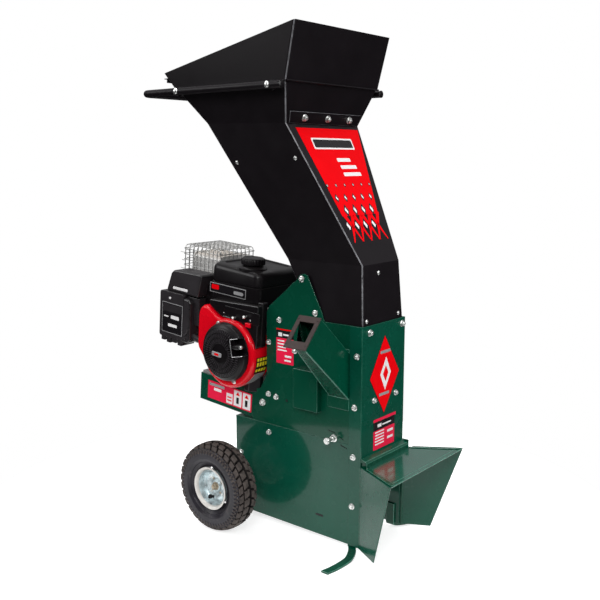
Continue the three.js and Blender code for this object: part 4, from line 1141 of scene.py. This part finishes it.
def starter_grip():
    """A moulded bar with a waist, on the end of the pull rope."""
    bm = bmesh.new()
    tilt = 0.25
    rings = []
    for i in range(25):
        t = -1 + 2 * i / 24
        along = 22.5 * t
        round_end = math.sqrt(max(0.0, 1 - abs(t) ** 6))
        thick = (6.6 + 1.4 * math.cos(math.pi * t)) * round_end + 0.05
        rings.append([(-41 + along * math.cos(tilt) - q * math.sin(tilt), -176 + p,
                       171 + along * math.sin(tilt) + q * math.cos(tilt)) for p, q in circle(thick, 18)])
    skin(bm, rings)
    piece("grip_bar", bm, "black_plastic", "starter_grip", ENGINE, ("starter_grip",), 60)
    bm = bmesh.new()
    # A small zinc cap on the grip's end: a painted highlight on the end of the grip.
    lathe(bm, [(0, -185.0), (4.2, -185.0), (5.2, -184.0), (5.2, -179)], "y", -25, 175, 20)
    piece("grip_end_painted_highlight", bm, "zinc", "starter_grip", ENGINE)


def starter_rope():
    """The pull rope, from the starter to the grip."""
    bm = bmesh.new()
    lathe(bm, [(2.2, -150.6), (2.2, -154), (2.2, -158), (2.2, -162), (2.2, -166), (2.2, -170)], "y", -41, 171, 10)
    rope = piece("starter_rope", bm, "black_plastic", None, ENGINE)
    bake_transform(rope)


starter_grip()
starter_rope()


# ---------- engine: fuel tank, controls, air cleaner ----------
def fuel_tank():
    """A blow-moulded tank: sloping floor, two seam grooves, a stepped top and a filler neck."""
    left, right, front, rear = -224, -24, -118, 84

    def floor_at(x):
        return 250.8 + max(0, x + 212) * 26 / 200

    def roof_at(x):
        return 387.5 - (x + 200) * 6 / 148

    levels = [(0, 10), (0.015, 4), (0.04, 1), (0.08, 0), (0.14, 0), (0.15, 2), (0.165, 2), (0.175, 0),
              (0.56, 0.4), (0.57, 3.6), (0.61, 3.6), (0.62, 0.8), (0.86, 2.4), (0.92, 4.5), (0.96, 8.5),
              (0.985, 14), (1, 22), (1, 27), (0.972, 30), (0.972, 44)]
    rings = []
    for level, inset in levels:
        outline = rounded(left + inset, right - inset, front + inset, rear - inset, max(8, 25 - 0.4 * inset), 10)
        ring = []
        for x, y in outline:
            base, roof = floor_at(x), roof_at(x)
            ring.append((x, y, base + (roof - base) * level))
        rings.append(ring)
    bm = bmesh.new()
    skin(bm, rings)
    lathe(bm, [(43, 377), (42, 384), (37, 389), (30, 391), (24, 391.5), (24, 393.5), (20, 393.5), (20, 377)],
          "z", -92, -72, 48, closed=True)
    piece("fuel_tank_shell", bm, "black_plastic", space=ENGINE, replaces=("fuel_tank",), angle=32)


def fuel_cap():
    """A cap with finger grips round its edge."""
    bm = bmesh.new()
    turns = [2 * math.pi * i / 144 for i in range(144)]
    rings = []
    for reach, z, grip in ((33, 394.4, 0), (35.8, 395.5, 1.3), (35.8, 409, 1.3), (34, 412, 0.8),
                           (30, 413.8, 0), (23, 413.8, 0), (21, 412.4, 0), (8, 412.4, 0), (0.1, 412.4, 0)):
        rings.append([(-92 + (reach - grip * (0.5 + 0.5 * math.cos(24 * turn))) * math.cos(turn),
                       -72 + (reach - grip * (0.5 + 0.5 * math.cos(24 * turn))) * math.sin(turn), z)
                      for turn in turns])
    skin(bm, rings)
    piece("fuel_cap_grip", bm, "black_plastic", "fuel_cap", ENGINE, ("fuel_cap",), 40)


def framed_label(name, x0, x1, z0, z1, y, slant=0.0):
    """A black plate with a thin silver frame, on a face that looks along -Y."""
    def outline(inset):
        return [(x, z + slant * (x - x0)) for x, z in rounded(x0 + inset, x1 - inset, z0 + inset, z1 - inset, 2)]
    engine_plate(f"{name}_frame", "label_silver", outline(0), y - 0.5, y + 0.3)
    engine_plate(f"{name}_plate", "label_black", outline(2.2), y - 0.9, y - 0.4)


def tank_label():
    framed_label("tank_label", -219, -73, 297, 326, -118)
    engine_plate("tank_label_mark", "label_red", rounded(-211, -181, 307, 321, 3), -119.4, -118.8)
    engine_plate("tank_label_bar", "label_silver", rounded(-121, -82, 305, 315, 5), -119.4, -118.8)


def control_marks():
    """Plain pictorial marks beside the levers: dots and strokes, no letters."""
    y = -140.6
    bm = bmesh.new()
    for x, z in ((-119, 258), (-40, 266)):
        lathe(bm, [(0, y), (1.6, y), (1.6, y + 0.8), (0, y + 0.8)], "y", x, z, 12)
    for x0, x1, z in ((-102, -90, 264.5), (-86, -56, 265), (-138, -130, 249)):
        slab(bm, x0, x1, y, y + 0.8, z, z + 1.3)
    piece("control_marks", bm, "label_white", space=ENGINE)
    bm = bmesh.new()
    slab(bm, -132, -104, -147.5, -146, 240.5, 242.5)
    piece("choke_wire", bm, "zinc", space=ENGINE)
    bm = bmesh.new()
    lathe(bm, [(0, -143.2), (2.2, -143.2), (2.8, -142.4), (2.8, -140), (0, -140)], "y", -30, 247, 20)
    piece("throttle_screw", bm, "zinc", space=ENGINE)


def control_panel():
    """The black moulding under the tank: it carries the levers and follows the fan housing's round edge."""
    front, rear = -140, -96
    clear = FAN[2] + 2.2
    outline = [(-197, 279), (-196, 262), (-178, 252), (-160, 243)]
    for i in range(15):
        turn = math.radians(108 - 84 * i / 14)
        outline.append((FAN[0] + clear * math.cos(turn), FAN[1] + clear * math.sin(turn)))
    outline += [(-8, 166), (-3, 172), (-3, 287), (-6, 293)]
    engine_plate("control_shell", "black_plastic", outline,
                 front, -119, replaces=("control_panel",), bevel=2.5, segments=3)
    bm = bmesh.new()
    slab(bm, -24, -5, -118.6, rear, 167, 299)
    piece("control_column", bm, "black_plastic", space=ENGINE, bevel=3, segments=3)
    bm = bmesh.new()
    # The lever slots are plates of the darkest rubber: painted shade in the openings.
    for x0, x1, z in ((-99, -40, 256), (-124, -83, 245)):
        prism(bm, rounded(x0, x1, z - 2.6, z + 2.6, 2, 3), "y", front - 0.3, front + 1)
    piece("lever_slots", bm, "recess_painted_shade", space=ENGINE)
    engine_plate("control_field", "black_plastic", rounded(-134, 4, 236, 272, 5), front - 1.0, front + 0.5, bevel=0.6)


def air_cleaner_details():
    """The air cleaner's label, badge, screw, ribs, elbow, shoulder and clip, and the intake block behind it."""
    low, high = -137, -72
    framed_label("air_label", -407, -315, 137, 234, low, -0.01)
    bm = bmesh.new()
    for x0, x1, z, tall in ((-397, -377, 187, 4), (-366, -330, 184, 11), (-378, -338, 158, 9)):
        prism(bm, rounded(x0, x1, z, z + tall, 1.5), "y", low - 1.5, low - 0.8)
    piece("air_label_bars", bm, "label_white", space=ENGINE)
    engine_plate("air_label_band", "grained_plastic", rounded(-402, -320, 205, 229, 2), low - 1.3, low - 0.8)
    engine_plate("air_cover_badge", "label_white", rounded(-371, -306, 277.5, 285.5, 3), -128.4, -126.4, bevel=0.5)
    bm = bmesh.new()
    lathe(bm, [(0, low - 3.5), (3, low - 3.2), (4, low - 1.8), (4, low), (0, low)], "y", -372, 249, 16)
    piece("air_cover_screw", bm, "label_white", space=ENGINE)
    bm = bmesh.new()
    for i in range(5):
        x = -404 + 19 * i
        prism(bm, [(x, 121), (x + 10, 121), (x + 8.5, 112.5), (x + 1.5, 112.5)], "y", low + 4, high - 8)
    piece("air_cleaner_ribs", bm, "grained_plastic", space=ENGINE, bevel=1.5)
    bm = bmesh.new()
    points = [(-313, -104, 150), (-300, -112, 146), (-284, -116, 141), (-262, -112, 132), (-246, -104, 122)]
    tube(bm, points, 9, 16)
    piece("breather_elbow", bm, "grained_plastic", space=ENGINE, angle=60)
    shoulder = [(-322, 118), (-290, 118), (-283, 128), (-283, 246), (-292, 257), (-322, 259)]
    engine_plate("air_cleaner_shoulder", "grained_plastic", shoulder, low + 1, high, bevel=6, segments=4)
    bm = bmesh.new()
    slab(bm, -276, -216, -92, -50, 214, 312)
    piece("intake_block", bm, "black_plastic", space=ENGINE, bevel=5, segments=3)
    bm = bmesh.new()
    tube(bm, [(-306, low + 1, 142), (-296, low - 1, 152), (-290, low + 2, 166)], 3.2, 10)
    stamp(bm, hex_bolt(6, False), (-301, low + 2, 134), (0, -1, 0))
    piece("cleaner_clip", bm, "grained_plastic", space=ENGINE)


fuel_tank()
fuel_cap()
tank_label()
control_marks()
control_panel()
air_cleaner_details()


# ---------- engine: exhaust and its wire guard ----------
def muffler_details():
    """The muffler's rolled seams, the plate on its top and the plate's bolts."""
    bm = bmesh.new()
    for x in (-374, -260):
        outline = rounded(-39.5, 89.5, 314.5, 385.5, 15, 8)
        tube(bm, [(x, y, z) for y, z in outline], 2.0, 8, closed=True)
    piece("muffler_seams", bm, "muffler_steel", space=ENGINE, angle=60)
    engine_plate("muffler_plate", "muffler_steel", rounded(-352, -282, -14, 64, 10), 384, 386.6, "z", bevel=0.8)
    bm = bmesh.new()
    for x, y in ((-345, -7), (-289, -7), (-345, 57), (-289, 57)):
        stamp(bm, hex_bolt(5.5), (x, y, 386.6), (0, 0, 1))
    piece("muffler_bolts", bm, "zinc", space=ENGINE)


def wire_guard():
    """A welded wire cage over the muffler: hoops both ways and six rings."""
    left, right, front, rear, low, high = -402, -246, -58, 104, 308, 408.5
    bend, wire = 12, 1.25
    bm = bmesh.new()

    def hoop(start, end, place):
        points = [place(start, low)]
        for i in range(7):
            turn = math.radians(90 * i / 6)
            points.append(place(start + bend * (1 - math.cos(turn)), high - bend * (1 - math.sin(turn))))
        for i in range(7):
            turn = math.radians(90 * i / 6)
            points.append(place(end - bend * (1 - math.sin(turn)), high - bend * (1 - math.cos(turn))))
        points.append(place(end, low))
        tube(bm, points, wire, 6)

    columns = 9
    for i in range(columns):
        x = left + 8 + (right - left - 16) * i / (columns - 1)
        hoop(front, rear, lambda along, z, x=x: (x, along, z))
        y = front + 8 + (rear - front - 16) * i / (columns - 1)
        hoop(left, right, lambda along, z, y=y: (along, y, z))
    for i in range(6):
        z = low + 1 + i * (high - low - bend - 2) / 5
        outline = rounded(left - wire, right + wire, front - wire, rear + wire, 10, 4)
        tube(bm, [(x, y, z) for x, y in outline], wire, 6, closed=True)
    for z, reach in ((330, 13), (356, 9), (381, 15)):
        tube(bm, [(left, front + 4, z), (left - reach, front + 1, z + 1.5)], wire, 6)
        tube(bm, [(left, front + 22, z + 6), (left - reach + 3, front + 20, z + 7)], wire, 6)
    piece("wire_guard", bm, "wire_zinc", space=ENGINE, replaces=("muffler_guard",), angle=70)


muffler_details()
wire_guard()


def cylinder_details():
    """Cooling fins over the cylinder and a spark plug."""
    bm = bmesh.new()
    for i in range(12):
        x = -296 + 8.6 * i
        prism(bm, rounded(-62, 62, 90, 252, 8, 3), "x", x, x + 1.8)
    piece("cylinder_fins", bm, "cast_metal", space=ENGINE)
    bm = bmesh.new()
    lathe(bm, [(0, -366), (4, -366), (4, -358), (8, -356), (8, -346), (0, -346)], "x", 20, 150, 16)
    piece("spark_plug", bm, "label_white", space=ENGINE)


cylinder_details()


# ---------- labels: plain panels with plain bars, no letters ----------
class Panel:
    """A flat face given by a corner and two directions, for drawing thin plates on it."""

    def __init__(self, corner, across, up, space=MACHINE):
        self.corner = Vector(corner)
        self.across = Vector(across).normalized()
        self.up = Vector(up).normalized()
        self.out = self.across.cross(self.up)
        self.space = space

    def plate(self, name, material, outlines, low, high):
        bm = bmesh.new()
        for outline in outlines:
            skin(bm, [[self.corner + self.across * a + self.up * b + self.out * lift for a, b in outline]
                      for lift in (low, high)])
        return piece(name, bm, material, space=self.space)


def bar(a0, a1, b0, b1, radius=0.8):
    return rounded(a0, a1, b0, b1, radius, 3)


def front_diamond():
    """The red diamond on the front cover, with a plain white lozenge where a mark could go."""
    face = Panel((0, 0, 0), (0, 1, 0), (0, 0, 1))
    left, right, top, bottom, middle = -66, 75, 594, 378, 484
    axis = 3

    def diamond(grow):
        return [(left - grow, middle), (axis, bottom - 1.6 * grow), (right + grow, middle), (axis, top + 1.6 * grow)]

    face.plate("diamond_edge", "label_black", [diamond(1.6)], 0.1, 0.6)
    face.plate("diamond_panel", "label_red", [diamond(0)], 0.6, 0.9)
    lozenge = [(axis - 21, middle + 4), (axis + 3, middle - 42), (axis + 31, middle + 4), (axis + 7, middle + 50)]
    face.plate("diamond_lozenge", "label_white", [lozenge], 0.9, 1.3)
    inner = [(axis - 8, middle + 4), (axis + 4.5, middle - 18), (axis + 18, middle + 4), (axis + 5.5, middle + 26)]
    face.plate("diamond_lozenge_inner", "label_red", [inner], 1.3, 1.6)
    face.plate("diamond_bars", "label_silver", [bar(-18, 30, 546, 554), bar(-22, 26, 428, 436)], 0.9, 1.2)


def front_notice():
    """A generic notice on the lower front: red strip, black header and red field with white bars."""
    face = Panel((0, 0, 0), (0, 1, 0), (0, 0, 1))
    face.plate("notice_strip", "label_pink", [bar(-46, 64, 358, 366)], 0.1, 0.5)
    face.plate("notice_header", "label_black", [bar(-46, 58, 334, 357)], 0.1, 0.5)
    face.plate("notice_field", "label_pink", [bar(-46, 58, 279, 333)], 0.1, 0.5)
    rows = [bar(-38, 6, 326 - 8.5 * i, 329.5 - 8.5 * i) for i in range(5)]
    rows += [bar(-26, -8, 341, 350), bar(-3, 40, 343, 347)]
    rows += [bar(22, 50, 316, 323), bar(22, 50, 297, 304)]
    face.plate("notice_bars", "label_white", rows, 0.5, 0.8)


def side_notice():
    """A generic notice on the near side plate."""
    face = Panel((0, -SIDE, 0), (1, 0, 0), (0, 0, 1))
    face.plate("side_notice_strip", "label_red", [bar(-300, -236, 589, 593)], 0.1, 0.5)
    face.plate("side_notice_header", "label_black", [bar(-300, -236, 567, 588)], 0.1, 0.5)
    face.plate("side_notice_field", "label_pink", [bar(-300, -236, 492, 566)], 0.1, 0.5)
    rows = [bar(-295, -270 + 3 * i, 556 - 9 * i, 560 - 9 * i) for i in range(4)]
    rows += [bar(-292, -278, 571, 582), bar(-274, -250, 574, 579)]
    rows += [bar(-268, -244, 512, 518), bar(-270, -246, 500, 505)]
    face.plate("side_notice_bars", "label_white", rows, 0.5, 0.8)


def platform_notice():
    """The label on the engine platform: a red field and four pale panels with small marks."""
    low_z, high_z = -46, 11
    face = Panel((0, -98.2, 0), (1, 0, 0), (0, 0, 1), ENGINE)
    face.plate("platform_field", "label_pink", [bar(-230, -46, low_z, high_z)], 0.1, 0.5)
    pale = [bar(-150, -124, low_z + 4, -10), bar(-119, -87, low_z + 4, high_z - 4),
            bar(-82, -51, low_z + 4, high_z - 4)]
    face.plate("platform_panels", "label_white", pale, 0.5, 0.8)
    face.plate("platform_bars", "label_white", [bar(-204, -172, -17, -8)], 0.5, 0.8)
    face.plate("platform_header", "label_silver", [bar(-224, -160, -4, 5)], 0.5, 0.8)
    marks = [[(-111, -8), (-94, -8), (-102.5, 4)], [(-75, -8), (-58, -8), (-66.5, 4)],
             bar(-146, -128, -24, -20), bar(-146, -128, -34, -30)]
    face.plate("platform_marks", "label_red", marks, 0.8, 1.0)
    dark = [bar(-108, -98, -34, -14), bar(-72, -62, -34, -14)]
    face.plate("platform_figures", "label_black", dark, 0.8, 1.0)


def hopper_label():
    """The big red label on the hopper's front panel, fading downwards into rows of growing lozenges."""
    up = BEND_LOW - PANEL_FOOT
    length = up.length
    face = Panel(PANEL_FOOT, (0, 1, 0), up)

    def at(z):
        return (z - PANEL_FOOT.z) / (BEND_LOW.z - PANEL_FOOT.z) * length

    top, end = at(1149), at(918)

    def edge(b, side):
        share = (top - b) / (top - end)
        return side * (131 - 44 * share) if side < 0 else 150 - 72 * share

    face.plate("hopper_label_field", "label_red",
               [[(edge(end, -1), end), (edge(end, 1), end), (edge(top, 1), top), (edge(top, -1), top)]], 0.15, 0.6)
    strands, gaps, glints = [], [], []
    upper, middle, foot = at(922), at(889), at(850)
    for column in (-79, -40, -1, 38, 77):
        for way in (-19.5, 19.5):
            if edge(middle, -1) < column + way < edge(middle, 1) + 4:
                strands.append([(column - 8, upper), (column + 8, upper), (column + way + 5.5, middle),
                                (column + way - 5.5, middle)])
                strands.append([(column + way - 5.5, middle), (column + way + 5.5, middle),
                                (column + 2, foot), (column - 2, foot)])
    rows = ((994, -99, 6, 5, 6.5), (961, -79.5, 5, 8, 13), (928, -60, 4, 11, 19), (889, -79, 4, 0, 22))
    for z, first, count, half_a, half_b in rows:
        b = at(z + 3)
        for i in range(count):
            a = first + 38.8 * i
            if half_a:
                gaps.append([(a - half_a, b), (a, b - half_b), (a + half_a, b), (a, b + half_b)])
            shine_a, shine_b = 0.36 * half_b ** 0.95, 0.52 * half_b
            glints.append([(a - shine_a, b + 0.25 * shine_b), (a + 0.2 * shine_a, b - shine_b),
                           (a + shine_a, b - 0.25 * shine_b), (a - 0.2 * shine_a, b + shine_b)])
    face.plate("hopper_label_strands", "label_red", strands, 0.15, 0.55)
    face.plate("hopper_label_gaps", "label_black", gaps, 0.6, 0.9)
    face.plate("hopper_label_glints", "label_white", glints, 0.9, 1.1)
    b = top - 62
    face.plate("hopper_label_banner", "label_white", [bar(-86, 96, b - 2, b + 32, 4)], 0.6, 0.9)
    face.plate("hopper_label_banner_core", "label_black", [bar(-81, 91, b + 3, b + 27, 3)], 0.9, 1.2)
    lines = [bar(-8, 52, b - 40, b - 29, 2), bar(-4, 68, b - 62, b - 51, 2), bar(-4, 76, b - 84, b - 73, 2)]
    face.plate("hopper_label_lines", "label_white", lines, 0.6, 0.9)


front_diamond()
front_notice()
side_notice()
platform_notice()
hopper_label()
